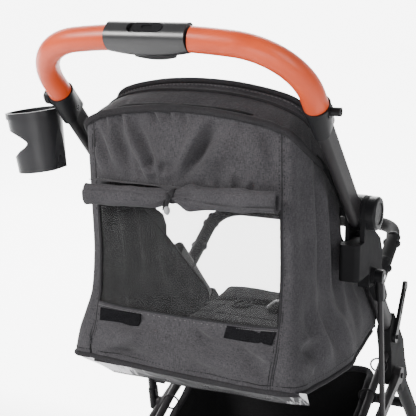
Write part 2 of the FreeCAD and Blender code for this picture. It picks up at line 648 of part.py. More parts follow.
def harness():
    """The buckle on its crotch strap with the two lap straps, lying on the seat."""
    top = 490.2
    strap = box(-12, 12, 12, 56, top, top + 1.8).fuse(box(-148, 148, 27, 53, top, top + 1.8))
    body = strap.fuse(rod_z(0, 40, top, top + 13, 19)).fuse(rod_z(0, 40, top, top + 15, 11))
    return body.fuse(box(-80, -62, 23, 57, top, top + 5)).removeSplitter()


# ---------------------------------------------------------------- canopy

BOWS = (("bow_rear", 140.0, 271.0, 177.5), ("bow_mid", 132.0, 263.0, 170.0), ("bow_front", 124.6, 252.0, 162.5))
BOW_R = 3.5


def bow_points(r, x):
    """Half of a bow's line, as (x, distance from the pivot)."""
    k = r / 271
    return [(x, 6), (x, 132 * k), (x - 20, 207 * k), (x - 72, 258 * k), (0, 273 * k)]


def bow(angle, r, x):
    half = bow_points(r, x)
    line = half + [(-px, pr) for px, pr in reversed(half[:-1])]
    points = [polar(angle, pr, px) for px, pr in line]
    body = pipe(rounded(points, [140, 80, 100, 500, 100, 80, 140]), BOW_R)
    for side in (-1, 1):
        body = body.fuse(rod_x(side * x - 3, side * x + 3, PIVOT_Y, PIVOT_Z, 10))
    return body.cut(rod_x(-220, 220, PIVOT_Y, PIVOT_Z, PIN_R + RUN))


def visor():
    """The front canopy panel: the front bow's outline turned forward round the pivot."""
    _, angle, r, x = BOWS[2]
    k = r / 300
    side = x - 6
    outer = [(side, 90), (side - 14, 190 * k), (side - 60, 256 * k), (0, 272 * k)]
    outer += [(-px, pr) for px, pr in reversed(outer[:-1])]
    inner = [(px * 0.98, pr - 3.0) for px, pr in outer]

    def curve(line):
        shape = Part.BSplineCurve()
        shape.interpolate([polar(angle - 3.2, pr, px) for px, pr in line])
        return shape.toShape()

    rim, back = curve(outer), curve(inner)
    ends = [Part.LineSegment(rim.valueAt(t), back.valueAt(u)).toShape()
            for t, u in ((rim.FirstParameter, back.FirstParameter), (rim.LastParameter, back.LastParameter))]
    face = Part.Face(Part.Wire(Part.__sortEdges__([rim, *ends, back])))
    return face.revolve(vec(0, PIVOT_Y, PIVOT_Z), vec(-1, 0, 0), 9)


def make_canopy():
    for name, angle, r, x in BOWS:
        save(name, bow(angle, r, x))
    save("canopy_visor", visor())


# ---------------------------------------------------------------- bumper bar and basket

SOCKET = vec(FRONT_X, 31, FRONT_SUM - 31)
RISE = vec(0, cos(radians(BUMPER_RISE)), sin(radians(BUMPER_RISE)))
JOINT_AT = 64.0


def bumper_socket():
    body = Part.makeCylinder(BUMPER_R, JOINT_AT, SOCKET, RISE).cut(front_tube_solid(False))
    body = max(body.Solids, key=lambda s: s.CenterOfMass.z)
    body = body.cut(Part.makeCylinder(8 + RUN, 80, SOCKET + RISE * 20, RISE))
    return body.cut(button_shape(BUTTON_R + 0.2, 4))


BUTTON_R = 3.2
BUTTON_OUT = vec(0, sin(radians(BUMPER_RISE)), -cos(radians(BUMPER_RISE)))


def button_shape(r, low=8.4):
    """The release button's pin, square to the socket on its underside."""
    return Part.makeCylinder(r, 14.4 - low, SOCKET + RISE * 44 + BUTTON_OUT * low, BUTTON_OUT)


def bumper_bar():
    bend, corner = SOCKET + RISE * 124, vec(FRONT_X - 14, 188, 638)
    half = [SOCKET + RISE * (JOINT_AT + 0.3), bend, corner]
    points = half + [vec(-p.x, p.y, p.z) for p in reversed(half)]
    body = pipe(rounded(points, [60, 38, 38, 60]), BUMPER_R)
    for side in (1, -1):
        start = SOCKET + RISE * (JOINT_AT - 34)
        spigot = Part.makeCylinder(8, 40, vec(side * start.x, start.y, start.z), RISE)
        detent = button_shape(BUTTON_R + 0.4, 5.4)
        body = body.fuse(spigot).cut(detent if side > 0 else mirrored(detent))
    return body


def rail_point(y, x=FRONT_X):
    return vec(x, y, 385 + (y - 60) * 0.5417)


def make_bumper_and_basket():
    socket_right = bumper_socket()
    save("bumper_sockets", socket_right, mirrored(socket_right))
    save("bumper_bar", bumper_bar())
    save_pair("bumper_button", button_shape(BUTTON_R))
    points = [rail_point(150), rail_point(-172), rail_point(-172, -FRONT_X), rail_point(150, -FRONT_X)]
    rails = pipe(rounded(points, [36, 36]), 7)
    tube = front_tube_solid(False)
    block = elbow()
    rails = rails.cut(tube).cut(mirrored(tube)).cut(block).cut(mirrored(block))
    save("basket_rails", max(rails.Solids, key=lambda s: s.Volume))
    outer = prism_x([(-162, 212), (90, 212), (118, 398), (-166, 246)], -164, 164)
    inner = prism_x([(-159, 215), (87.4, 215), (118, 420), (-163, 260)], -161, 161)
    save("basket", outer.cut(inner))


make_handle()
make_front()
make_wheels()
make_rear()
make_cabin()
make_canopy()
make_bumper_and_basket()
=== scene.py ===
"""Looks of the pet stroller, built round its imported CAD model. Metres, +Z up, +Y is the way it travels."""
import bpy
import numpy as np
from math import cos, hypot, pi, radians, sin
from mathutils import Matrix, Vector
from numpy.linalg import norm


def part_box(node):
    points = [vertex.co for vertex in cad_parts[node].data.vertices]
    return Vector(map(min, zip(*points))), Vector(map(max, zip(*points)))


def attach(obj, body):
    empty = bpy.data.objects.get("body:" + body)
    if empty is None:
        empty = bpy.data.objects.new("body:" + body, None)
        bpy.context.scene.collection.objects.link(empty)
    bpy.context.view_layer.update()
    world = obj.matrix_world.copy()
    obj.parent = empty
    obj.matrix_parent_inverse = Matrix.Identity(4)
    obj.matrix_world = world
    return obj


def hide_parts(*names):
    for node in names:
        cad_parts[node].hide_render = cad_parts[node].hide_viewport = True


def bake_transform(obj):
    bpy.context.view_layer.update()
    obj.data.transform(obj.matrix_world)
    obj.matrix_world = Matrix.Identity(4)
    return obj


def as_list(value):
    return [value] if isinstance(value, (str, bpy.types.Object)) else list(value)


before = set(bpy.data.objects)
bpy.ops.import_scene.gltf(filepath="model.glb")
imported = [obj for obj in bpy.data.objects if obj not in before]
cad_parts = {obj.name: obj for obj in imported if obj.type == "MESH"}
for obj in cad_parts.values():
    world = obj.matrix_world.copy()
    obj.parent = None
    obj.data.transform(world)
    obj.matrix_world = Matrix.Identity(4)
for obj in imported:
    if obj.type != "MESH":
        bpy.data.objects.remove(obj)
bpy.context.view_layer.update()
MM = 0.001
HANDS = ((-1, "left"), (1, "right"))
rng = np.random.default_rng(7)


# ---- materials

class Shader:
    """A node material round one Principled shader, in the object's own coordinates (metres)."""

    def __init__(self, name, **sockets):
        self.mat = bpy.data.materials.new(name)
        self.mat.use_nodes = True
        self.tree = self.mat.node_tree
        self.bsdf = self.tree.nodes["Principled BSDF"]
        self.place = self.node("TexCoord").outputs["Object"]
        for key, value in sockets.items():
            self.feed(self.bsdf, key.replace("_", " "), value)

    def feed(self, node, key, value):
        """Links an output to a node's input, or sets the input's own value."""
        if hasattr(value, "links"):
            self.tree.links.new(value, node.inputs[key])
        else:
            node.inputs[key].default_value = value

    def node(self, kind, inputs=(), **attributes):
        made = self.tree.nodes.new("ShaderNode" + kind)
        for key, value in attributes.items():
            setattr(made, key, value)
        for key, value in dict(inputs).items():
            self.feed(made, key, value)
        return made

    def stretched(self, scale, turn=(0, 0, 0)):
        inputs = {"Vector": self.place, "Scale": scale, "Rotation": turn}
        return self.node("Mapping", inputs).outputs["Vector"]

    def noise(self, scale, detail=2.0, rough=0.5, vector=None):
        inputs = {"Scale": scale, "Detail": detail, "Roughness": rough, "Vector": vector or self.place}
        return self.node("TexNoise", inputs).outputs["Fac"]

    def waves(self, scale, direction, distortion=0.0, vector=None):
        inputs = {"Scale": scale, "Distortion": distortion, "Vector": vector or self.place}
        return self.node("TexWave", inputs, bands_direction=direction).outputs["Fac"]

    def cells(self, scale, feature="F1"):
        inputs = {"Scale": scale, "Vector": self.place}
        return self.node("TexVoronoi", inputs, feature=feature).outputs["Distance"]

    def axis(self, letter):
        return self.node("SeparateXYZ", {"Vector": self.place}).outputs[letter]

    def math(self, operation, a, b):
        return self.node("Math", {0: a, 1: b}, operation=operation).outputs[0]

    def span(self, value, **ends):
        """Maps a value from one range to another: ends are To_Min, To_Max, From_Min and From_Max."""
        inputs = {key.replace("_", " "): end for key, end in ends.items()}
        return self.node("MapRange", {"Value": value, **inputs}).outputs["Result"]

    def ramp(self, fac, *stops):
        made = self.node("ValToRGB", {"Fac": fac})
        band = made.color_ramp.elements
        while len(band) < len(stops):
            band.new(0.5)
        for element, (at, colour) in zip(band, stops):
            element.position = at
            element.color = (*colour, 1)
        return made.outputs["Color"]

    def multiply(self, fac, a, b):
        inputs = {0: fac, 6: a, 7: b}
        return self.node("Mix", inputs, data_type="RGBA", blend_type="MULTIPLY").outputs[2]

    def colour(self, out):
        self.feed(self.bsdf, "Base Color", out)

    def rough(self, out, low, high):
        self.feed(self.bsdf, "Roughness", self.span(out, To_Min=low, To_Max=high))

    def bump(self, height, strength, distance):
        """Adds a bump on top of those already made."""
        inputs = {"Strength": strength, "Distance": distance, "Height": height}
        below = self.bsdf.inputs["Normal"].links
        if below:
            inputs["Normal"] = below[0].from_socket
        self.feed(self.bsdf, "Normal", self.node("Bump", inputs).outputs["Normal"])


BLACK_OUT, WHITE_OUT = (0, 0, 0), (1, 1, 1)


def cloth(name, dark, light, thread=0.00055, sheen=0.05, fuzz=0.0004):
    """A melange weave: slubby threads along Z, a fine cross weave and cloudy fading."""
    s = Shader(name, Roughness=0.9, Sheen_Weight=sheen, Sheen_Roughness=0.45, Specular_IOR_Level=0.1)
    slub = s.noise(1.0, 3, 0.65, s.stretched((1500, 1500, 150)))
    cross = s.noise(1.0, 2, 0.6, s.stretched((230, 230, 1300)))
    cloud = s.noise(16, 4, 0.6)
    mixed = s.math("ADD", s.math("MULTIPLY", slub, 0.62), s.math("MULTIPLY", cross, 0.38))
    yarn = s.ramp(mixed, (0.34, dark), (0.66, light))
    shade = s.ramp(cloud, (0.3, (0.84, 0.84, 0.84)), (0.7, (1.1, 1.1, 1.1)))
    s.colour(s.multiply(1.0, yarn, shade))
    bands = 0.31 / thread
    warp = s.math("ADD", s.waves(bands, "X"), s.waves(bands, "Y"))
    weave = s.math("MULTIPLY", warp, s.waves(bands, "Z"))
    s.bump(weave, 0.22, fuzz)
    s.bump(s.noise(300, 2, 0.5), 0.08, 0.0004)
    return s.mat


def plastic(name, base, rough=0.42, grain=1.0, shine=0.14):
    s = Shader(name, Specular_IOR_Level=shine)
    tone = s.noise(9, 3, 0.5)
    low, high = tuple(0.82 * c for c in base), tuple(1.2 * c for c in base)
    s.colour(s.ramp(tone, (0.3, low), (0.7, high)))
    s.rough(s.noise(55, 4, 0.6), rough - 0.07, rough + 0.1)
    s.bump(s.noise(2600, 2, 0.6), 0.12 * grain, 0.0002)
    return s.mat


def metal(name, base, rough=0.34, metallic=0.9, shine=0.5):
    s = Shader(name, Metallic=metallic, Specular_IOR_Level=shine)
    drawn = s.noise(1.0, 2, 0.6, s.stretched((3000, 260, 260)))
    low, high = tuple(0.86 * c for c in base), tuple(1.12 * c for c in base)
    s.colour(s.ramp(s.noise(14, 3, 0.5), (0.3, low), (0.7, high)))
    s.rough(drawn, rough - 0.05, rough + 0.08)
    s.bump(s.noise(3200, 2, 0.5), 0.05, 0.0001)
    return s.mat


def leather():
    s = Shader("leather_coral", Specular_IOR_Level=0.26, Coat_Weight=0.2, Coat_Roughness=0.3)
    cloud = s.noise(22, 4, 0.55)
    tone = s.ramp(cloud, (0.28, (0.38, 0.04, 0.007)), (0.55, (0.44, 0.05, 0.01)),
                  (0.8, (0.49, 0.062, 0.014)))
    pores = s.ramp(s.cells(1500), (0.0, (0.8, 0.8, 0.8)), (0.35, WHITE_OUT))
    s.colour(s.multiply(0.5, tone, pores))
    s.rough(s.noise(130, 4, 0.6), 0.34, 0.5)
    s.bump(s.cells(1150, "SMOOTH_F1"), 0.32, 0.00022)
    s.bump(s.noise(380, 4, 0.6), 0.16, 0.0004)
    return s.mat


def window_net():
    """Fine net: threads on the two diagonals, mostly open."""
    s = Shader("window_net", Roughness=0.75, Specular_IOR_Level=0.2)
    s.colour(s.ramp(s.noise(60, 2), (0.3, (0.02, 0.02, 0.0205)), (0.7, (0.034, 0.034, 0.0345))))
    turned = s.stretched((1, 1, 1), (0, radians(38), 0))
    threads = s.math("MAXIMUM", s.waves(150, "X", 0.2, turned), s.waves(150, "Z", 0.2, turned))
    cover = s.span(threads, From_Min=0.35, From_Max=1.0, To_Min=0.03, To_Max=0.5)
    s.feed(s.bsdf, "Alpha", cover)
    return s.mat


def vinyl():
    """Glossy clear film over a dark board, creased along its length, with a painted reflection: pale colour
    at its left end and right corner stands in for the bright backdrop mirrored in the film.
    """
    s = Shader("vinyl_film", Specular_IOR_Level=0.16, Coat_Weight=0.02, Coat_Roughness=0.1)
    # the colour runs along X (edge, wobbled by drift) to place a painted reflection: pale at the left end
    # and the right corner, dark board colour between
    drift = s.math("ADD", s.noise(1.0, 4, 0.7, s.stretched((60, 14, 14))), -0.5)
    edge = s.math("ADD", s.math("MULTIPLY", s.axis("X"), 2.6), s.math("MULTIPLY", drift, 0.5))
    tone = s.math("ADD", edge, 0.5)
    # painted reflection of the bright backdrop: these pale stops and the last stop below; the dark stops are
    # the board's own colour
    painted_reflection = ((0.0, (0.62, 0.61, 0.63)), (0.21, (0.5, 0.49, 0.51)))
    black = ((0.26, (0.014, 0.014, 0.016)), (0.55, (0.009, 0.009, 0.01)), (0.925, (0.012, 0.012, 0.014)))
    s.colour(s.ramp(tone, *painted_reflection, *black, (0.955, (0.5, 0.5, 0.51))))
    s.rough(s.noise(40, 3), 0.2, 0.4)
    s.bump(s.noise(1.0, 4, 0.6, s.stretched((90, 26, 26))), 0.4, 0.0016)
    return s.mat


def dull(name, rough, shine, tone, low, high, grain, strength, depth):
    """A rough material: tone and grain are the noises of its colour and of its surface."""
    s = Shader(name, Roughness=rough, Specular_IOR_Level=shine)
    s.colour(s.ramp(s.noise(*tone), low, high))
    s.bump(s.noise(*grain), strength, depth)
    return s.mat


CHARCOAL = cloth("charcoal_melange", (0.0125, 0.012, 0.0135), (0.052, 0.05, 0.054))
LINING = cloth("dark_lining", (0.006, 0.0058, 0.0063), (0.017, 0.0165, 0.0175), sheen=0.0)
BINDING = cloth("dark_binding", (0.008, 0.0078, 0.0086), (0.024, 0.023, 0.025), sheen=0.02)
SEAT = cloth("seat_melange", (0.01, 0.0098, 0.0106), (0.036, 0.035, 0.037), sheen=0.03)
WEBBING = cloth("black_webbing", (0.004, 0.004, 0.0045), (0.013, 0.0125, 0.0135), thread=0.0011,
                fuzz=0.0007)
BASKET = cloth("basket_cloth", (0.003, 0.003, 0.0033), (0.009, 0.009, 0.0095), sheen=0.03)
THREAD = cloth("grey_thread", (0.055, 0.054, 0.056), (0.11, 0.108, 0.112))
DARK_THREAD = cloth("dark_thread", (0.003, 0.003, 0.0033), (0.008, 0.008, 0.0085), sheen=0.0)
LEATHER = leather()
BLACK = plastic("black_plastic", (0.007, 0.007, 0.0078), 0.38)
CUP_PLASTIC = plastic("cup_plastic", (0.015, 0.015, 0.0165), 0.36, 1.0, 0.24)
GREY_PLASTIC = plastic("grey_plastic", (0.22, 0.225, 0.23), 0.5)
FOAM = plastic("bar_foam", (0.01, 0.0098, 0.0102), 0.7, 4.0)
TUBE = metal("graphite_tube", (0.017, 0.016, 0.017), 0.44, 0.15, 0.12)
MATTE = plastic("matte_black", (0.0095, 0.0095, 0.0102), 0.64, 1.0, 0.04)
HOUSING = plastic("housing_plastic", (0.01, 0.01, 0.011), 0.34, 1.0, 0.55)
STEEL = metal("steel", (0.55, 0.55, 0.56), 0.25, 1.0)
NET, VINYL = window_net(), vinyl()
HOOKS = dull("hook_tape", 0.95, 0.02, (900, 2, 0.7), (0.35, (0.002, 0.002, 0.0023)),
             (0.7, (0.012, 0.012, 0.0135)), (1100, 2, 0.7), 0.9, 0.0008)
TYRE = dull("tyre_foam", 0.78, 0.3, (30, 4), (0.3, (0.007, 0.007, 0.0075)), (0.7, (0.017, 0.0165, 0.0165)),
            (700, 3), 0.35, 0.0005)


# ---- mesh helpers

def steps(count):
    return np.linspace(0, 1, count)


def add_object(name, data):
    made = bpy.data.objects.new(name, data)
    bpy.context.scene.collection.objects.link(made)
    return made


def add_piece(name, verts, faces, material, body=None, extra=(), marks=None):
    """A mesh object. extra holds further materials and marks each face's material number."""
    mesh = bpy.data.meshes.new(name)
    mesh.from_pydata(np.asarray(verts, float).tolist(), [], [tuple(int(i) for i in f) for f in faces])
    mesh.validate()
    mesh.polygons.foreach_set("use_smooth", [True] * len(mesh.polygons))
    for m in (material, *extra):
        mesh.materials.append(m)
    if marks is not None and len(marks) == len(mesh.polygons):
        mesh.polygons.foreach_set("material_index", np.asarray(marks, np.int32))
    mesh.update()
    piece = add_object(name, mesh)
    if body:
        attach(piece, body)
    return piece


def smooth_line(points, count, closed=False):
    """A Catmull-Rom line through the points, resampled evenly."""
    p = np.asarray(points, float)
    if closed:
        p = np.vstack([p[-1], p, p[0], p[1]])
    else:
        p = np.vstack([2 * p[0] - p[1], p, 2 * p[-1] - p[-2]])
    t = np.linspace(0, 1, 24, endpoint=False)[:, None]
    rows = []
    for a, b, c, d in zip(p, p[1:], p[2:], p[3:]):
        bend, twist = 2 * a - 5 * b + 4 * c - d, 3 * b - a - 3 * c + d
        rows.append(0.5 * (2 * b + (c - a) * t + bend * t**2 + twist * t**3))
    line = np.vstack([*rows, p[-2][None]])
    return evenly(line, count)


def evenly(line, count):
    gone = np.concatenate([[0], np.cumsum(norm(np.diff(line, axis=0), axis=1))])
    at = np.linspace(0, gone[-1], count)
    return np.column_stack([np.interp(at, gone, line[:, k]) for k in range(line.shape[1])])


def frames_on(line, up=(0, 0, 1)):
    """Tangents and two normals along a line, carried along without twist."""
    tangent = np.gradient(line, axis=0)
    tangent /= norm(tangent, axis=1)[:, None]
    side = np.cross(tangent[0], np.array(up, float))
    if norm(side) < 1e-6:
        side = np.cross(tangent[0], (0.3, 1, 0.1))
    sides = [side / norm(side)]
    for t in tangent[1:]:
        s = sides[-1] - t * (sides[-1] @ t)
        sides.append(s / norm(s))
    sides = np.array(sides)
    return tangent, sides, np.cross(tangent, sides)


def sweep(name, line, radius, material=BINDING, body="chassis", sides=14, flat=1.0,
          up=(0, 0, 1), closed=False):
    """A tube along a line with domed ends. radius is one value or one per point; flat squashes it
    along up."""
    line = np.asarray(line, float)
    n = len(line)
    tangent, a, b = frames_on(line, up)
    r = np.full(n, radius) if np.isscalar(radius) else np.asarray(radius, float)
    turn = np.linspace(0, 2 * pi, sides, endpoint=False)
    ring = np.cos(turn)[None, :, None] * a[:, None, :]
    ring = ring + flat * np.sin(turn)[None, :, None] * b[:, None, :]
    rings = line[:, None, :] + r[:, None, None] * ring
    first, last = -tangent[0] * r[0], tangent[-1] * r[-1]
    if not closed:
        low = line[0] + first * 0.4 + r[0] * 0.6 * ring[0]
        high = line[-1] + last * 0.4 + r[-1] * 0.6 * ring[-1]
        rings = np.concatenate([low[None], rings, high[None]])
    m = len(rings)
    verts, faces = rings.reshape(-1, 3), []
    for i in range(m if closed else m - 1):
        j = (i + 1) % m
        for k in range(sides):
            l = (k + 1) % sides
            faces.append((i * sides + k, i * sides + l, j * sides + l, j * sides + k))
    if not closed:
        verts = np.vstack([verts, line[0] + first * 0.55, line[-1] + last * 0.55])
        tip, end = m * sides, (m - 1) * sides
        for k in range(sides):
            l = (k + 1) % sides
            faces += [(tip, l, k), (tip + 1, end + k, end + l)]
    return add_piece(name, verts, faces, material, body)


def grid_normals(grid):
    n = np.cross(np.gradient(grid, axis=0), np.gradient(grid, axis=1))
    return n / np.maximum(norm(n, axis=2, keepdims=True), 1e-12)


def cloth_sheet(name, grid, thickness, material=CHARCOAL, body="chassis", lining=None,
                hole=None):
    """A sheet with two skins and closed edges from a grid of points. hole marks missing cells."""
    nu, nv = grid.shape[:2]
    normal = grid_normals(grid)
    outer, inner = grid + normal * thickness / 2, grid - normal * thickness / 2
    verts = np.vstack([outer.reshape(-1, 3), inner.reshape(-1, 3)])
    shift = nu * nv
    keep = np.ones((nu - 1, nv - 1), bool) if hole is None else ~hole
    faces, marks = [], []

    def at(i, j):
        return i * nv + j

    for i in range(nu - 1):
        for j in range(nv - 1):
            if not keep[i, j]:
                continue
            q = (at(i, j), at(i + 1, j), at(i + 1, j + 1), at(i, j + 1))
            faces += [q, tuple(v + shift for v in reversed(q))]
            marks += [0, 1 if lining else 0]
            for a, b, ni, nj in ((q[0], q[1], i, j - 1), (q[1], q[2], i + 1, j), (q[2], q[3], i, j + 1),
                                 (q[3], q[0], i - 1, j)):
                if not (0 <= ni < nu - 1 and 0 <= nj < nv - 1 and keep[ni, nj]):
                    faces.append((b, a, a + shift, b + shift))
                    marks.append(0)
    used = np.unique(np.concatenate([np.array(f) for f in faces]))
    number = np.full(len(verts), -1)
    number[used] = np.arange(len(used))
    faces = [tuple(number[list(f)]) for f in faces]
    extra = (lining,) if lining else ()
    return add_piece(name, verts[used], faces, material, body, extra, marks)


THREAD_LIFT = 0.0003


def stitches(name, line, normal, body="chassis", pitch=0.0042, long=0.0026, wide=0.0005, material=THREAD):
    """A row of thread stitches lying on a line, with a normal for each point of the line."""
    line = np.asarray(line, float)
    count = max(2, int(norm(np.diff(line, axis=0), axis=1).sum() / pitch))
    both = evenly(np.column_stack([line, np.broadcast_to(normal, line.shape)]), count * 2 + 1)
    mids, normals = both[1::2, :3], both[1::2, 3:]
    ahead = both[2::2, :3] - both[0:-1:2, :3]
    verts, faces = [], []
    for p, n, t in zip(mids, normals, ahead):
        t = t / norm(t)
        n = n - t * (n @ t)
        n /= norm(n)
        s = np.cross(t, n)
        base = len(verts)
        for along, size in ((-0.5, 0.35), (-0.22, 1.0), (0.22, 1.0), (0.5, 0.35)):
            for turn in range(6):
                a = turn * pi / 3
                rise = THREAD_LIFT + sin(a) * wide * size
                verts.append(p + t * along * long + n * rise + s * cos(a) * wide * size)
        for ring in range(base, base + 18, 6):
            for k in range(6):
                l = (k + 1) % 6
                faces.append((ring + k, ring + l, ring + 6 + l, ring + 6 + k))
        faces += [tuple(range(base + 5, base - 1, -1)), tuple(range(base + 18, base + 24))]
    return add_piece(name, verts, faces, material, body)


def surface(us, vs, point):
    """A grid of points from a function of two parameters."""
    return np.array([[point(u, v) for v in vs] for u in us], float)


def bump_at(d, width):
    return np.exp(-(d / width) ** 2)


def crease(u, v, start, end, width, height, taper=0.5):
    """A soft fold along a segment, in metres: a ridge with a shallower valley beside it."""
    (a, b), (c, d) = start, end
    along = np.array([c - a, d - b])
    length = np.hypot(*along)
    along = along / length
    s = ((u - a) * along[0] + (v - b) * along[1]) / length
    off = -(u - a) * along[1] + (v - b) * along[0]
    ends = np.clip(s / taper, 0, 1) * np.clip((1 - s) / taper, 0, 1)
    ends = ends * ends * (3 - 2 * ends)
    grow = width * (0.75 + 0.5 * np.clip(s, 0, 1))
    return height * ends * (bump_at(off, grow) - 0.75 * bump_at(off - 1.7 * grow, grow * 0.9))


def creases(u, v, folds, taper=0.5):
    """The sum of a table's folds. Each row is from (u, v), to (u, v), width and height, in millimetres."""
    return sum(crease(u, v, (a * MM, b * MM), (c * MM, d * MM), width * MM, height * MM, taper)
               for a, b, c, d, width, height in folds)


def interp(x, *pairs):
    xs, ys = zip(*pairs)
    return np.interp(x, xs, ys)


def eased(x, *pairs):
    """Interpolation between knots with rounded corners."""
    xs, ys = (np.array(k, float) for k in zip(*pairs))
    span = (xs[-1] - xs[0]) * 0.012
    return sum(w * np.interp(np.asarray(x) + o * span, xs, ys) for o, w in
               ((-2, 0.12), (-1, 0.23), (0, 0.3), (1, 0.23), (2, 0.12)))


# ---- camera, floor and light

def camera(place, tilt, turn, lens):
    data = bpy.data.cameras.new("view")
    data.lens, data.sensor_width = lens, 36
    made = add_object("view", data)
    made.location = place
    made.rotation_euler = (radians(tilt), 0, radians(turn))
    bpy.context.scene.camera = made


def softbox(name, place, aim, size, power, tint=(1, 1, 1)):
    data = bpy.data.lights.new(name, "AREA")
    data.shape, data.size, data.size_y, data.energy, data.color = "RECTANGLE", *size, power, tint
    made = add_object(name, data)
    made.location = place
    made.rotation_euler = (Vector(aim) - Vector(place)).to_track_quat("-Z", "Y").to_euler()


camera((0.655, -1.608, 1.069), 77.7, 25.8, 88.93)
softbox("key", (-1.7, -2.6, 2.5), (0, 0, 0.6), (1.3, 1.1), 240, (1.0, 0.99, 0.97))
softbox("side", (2.6, -1.2, 1.9), (0, 0, 0.6), (1.2, 1.8), 50)
softbox("back", (-1.2, 2.4, 2.4), (0, 0, 0.6), (1.8, 1.2), 80)
softbox("low", (0.9, -2.6, 0.5), (0, 0, 0.4), (1.4, 0.7), 26)
room = bpy.data.worlds.new("room")
room.use_nodes = True
for key, value in (("Color", (0.93, 0.94, 0.96, 1)), ("Strength", 0.4)):
    room.node_tree.nodes["Background"].inputs[key].default_value = value
bpy.context.scene.world = room


def floor():
    """A pale floor that curves up into a backdrop and glows only behind the object, to the left."""
    s = Shader("pale_floor", Roughness=0.85, Specular_IOR_Level=0.15, Emission_Strength=5.0)
    behind = s.math("MULTIPLY", s.math("ADD", s.axis("Y"), -0.05), 2.2)
    beside = s.math("ADD", s.math("MULTIPLY", s.axis("X"), -2.8), 1.4)
    glow = [s.ramp(side, (0.0, BLACK_OUT), (1.0, WHITE_OUT)) for side in (behind, beside)]
    s.feed(s.bsdf, "Emission Color", s.math("MULTIPLY", *glow))
    s.colour(s.ramp(s.noise(1.3, 2), (0.3, (0.9, 0.9, 0.905)), (0.7, (0.93, 0.93, 0.935))))
    bend = [(2.5 + 1.5 * sin(a), 1.5 - 1.5 * cos(a)) for a in np.linspace(0.12, pi / 2, 13)]
    rows = [(-9, 0), (2.5, 0), *bend, (4.0, 7.0)]
    verts = [(x, y, z - 0.0004) for y, z in rows for x in (-9, 9)]
    faces = [(2 * i, 2 * i + 1, 2 * i + 3, 2 * i + 2) for i in range(len(rows) - 1)]
    add_piece("floor", verts, faces, s.mat)


floor()


# ---- finish of the CAD parts

FINISH = {
    LEATHER: "grip_left grip_right",
    TUBE: "handle_core_tube handle_leg_left handle_leg_right front_tube_left front_tube_right "
          "struts rear_legs rear_beam basket_rails bow_mid bow_front",
    MATTE: "hub_left hub_right elbows front_legs bow_rear",
    STEEL: "main_pins handle_screws release_wires axle_stubs",
    HOUSING: "housing_rear_shell housing_front_shell",
    FOAM: "bumper_bar",
    CUP_PLASTIC: "cup_holder",
}


def dress_cad():
    finish = {name: mat for mat, names in FINISH.items() for name in names.split()}
    for name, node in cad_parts.items():
        node.data.materials.clear()
        node.data.materials.append(finish.get(name, BLACK))
        node.data.polygons.foreach_set("material_index", [0] * len(node.data.polygons))


def dress_wheels():
    """Each wheel is one CAD node: its tyre is what lies beyond the rim's radius."""
    for name, (lo, hi) in ((n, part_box(n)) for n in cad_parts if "wheel" in n):
        node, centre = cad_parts[name], (lo + hi) / 2
        tyre_from = 0.8 * (hi.z - lo.z) / 2
        node.data.materials.append(TYRE)
        for polygon in node.data.polygons:
            middle = polygon.center - centre
            if hypot(middle.y, middle.z) > tyre_from:
                polygon.material_index = 1


dress_cad()
dress_wheels()


# ---- rear panel and sides of the cabin

PIVOT = np.array((0.0, -0.137, 0.731))
FRONT_LOW, FRONT_HIGH = (0.085, 0.5), (-0.147, 0.702)     # the diagonal front edge of a side, (y, z)
WINDOW_LOW, WINDOW_HIGH = 0.597, 0.766
BACK_COLUMNS, SIDE_COLUMNS, ROWS = 150, 92, (34, 52, 56)    # rows: below, beside and above the window
SEAM_HALF = 0.148      # half the distance between the two seams
CABIN_MIDDLE = np.array((0, -0.1, 0.65))


def polar(angle, r, x):
    """Points round the canopy's pivot, in the plane of a bow at an angle."""
    a = radians(angle)
    return np.stack([x, PIVOT[1] + r * cos(a), PIVOT[2] + r * sin(a)], -1)


def section(z, side=1):
    """One half of the cabin's outline at a height, as points (|x|, y) from the middle to the front
    edge, with the numbers of the points at the seam and at the front edge."""
    seam = eased(z, (0.5, -0.334), (0.557, -0.34), (0.59, -0.332), (0.612, -0.325), (0.675, -0.32),
                 (0.749, -0.325), (0.859, -0.331), (0.93, -0.333))
    out = eased(z, (0.49, 0.029), (0.516, 0.024), (0.549, 0.0175), (0.574, 0.01), (0.6, 0.003),
                (0.64, 0.0), (0.93, 0.0))
    corner = out if side < 0 else 0.45 * out
    front = interp(z, (FRONT_LOW[1], FRONT_LOW[0]), (FRONT_HIGH[1], FRONT_HIGH[0]), (0.93, -0.15))
    line = [(0.0, -0.3435), (0.05, -0.343), (0.1, -0.34), (SEAM_HALF, seam),
            (0.1625 + 0.8 * corner, seam + 0.006), (0.1695 + corner, seam + 0.024),
            (0.1712 + corner, seam + 0.052), (0.1718 + 0.7 * out, -0.225),
            (0.1712 + 0.85 * out, -0.15), (0.1685 + 0.7 * out, -0.105), (0.1645 + 0.3 * out, -0.04),
            (0.164 + 0.05 * out, 0.03), (0.164, 0.1)]
    curve = smooth_line(line, 500)
    at = np.argmin(np.abs(curve[:, 0] - SEAM_HALF) + 10 * (curve[:, 1] > -0.3))
    end = np.searchsorted(curve[:, 1], front) if front < curve[-1, 1] else len(curve) - 1
    return curve, at, max(end, at + 4)


SECTIONS = {}


def outline_at(z, side):
    """The outline at a height, blended between the two nearest whole millimetres."""
    low = int(z * 1000)
    for step in (low, low + 1):
        if (step, side) not in SECTIONS:
            SECTIONS[step, side] = section(step * 0.001, side)
    (a, at_a, end_a), (b, at_b, end_b) = SECTIONS[low, side], SECTIONS[low + 1, side]
    t = z * 1000 - low
    return a * (1 - t) + b * t, at_a * (1 - t) + at_b * t, end_a * (1 - t) + end_b * t


def shell_point(w, z, side):
    """A point of the cabin's side: w runs from 0 at the seam to 1 at the front edge."""
    curve, at, end = outline_at(z, side)
    place = at + w * (end - at)
    low = int(place)
    p = curve[low] + (curve[min(low + 1, len(curve) - 1)] - curve[low]) * (place - low)
    return np.array((side * p[0], p[1], z))


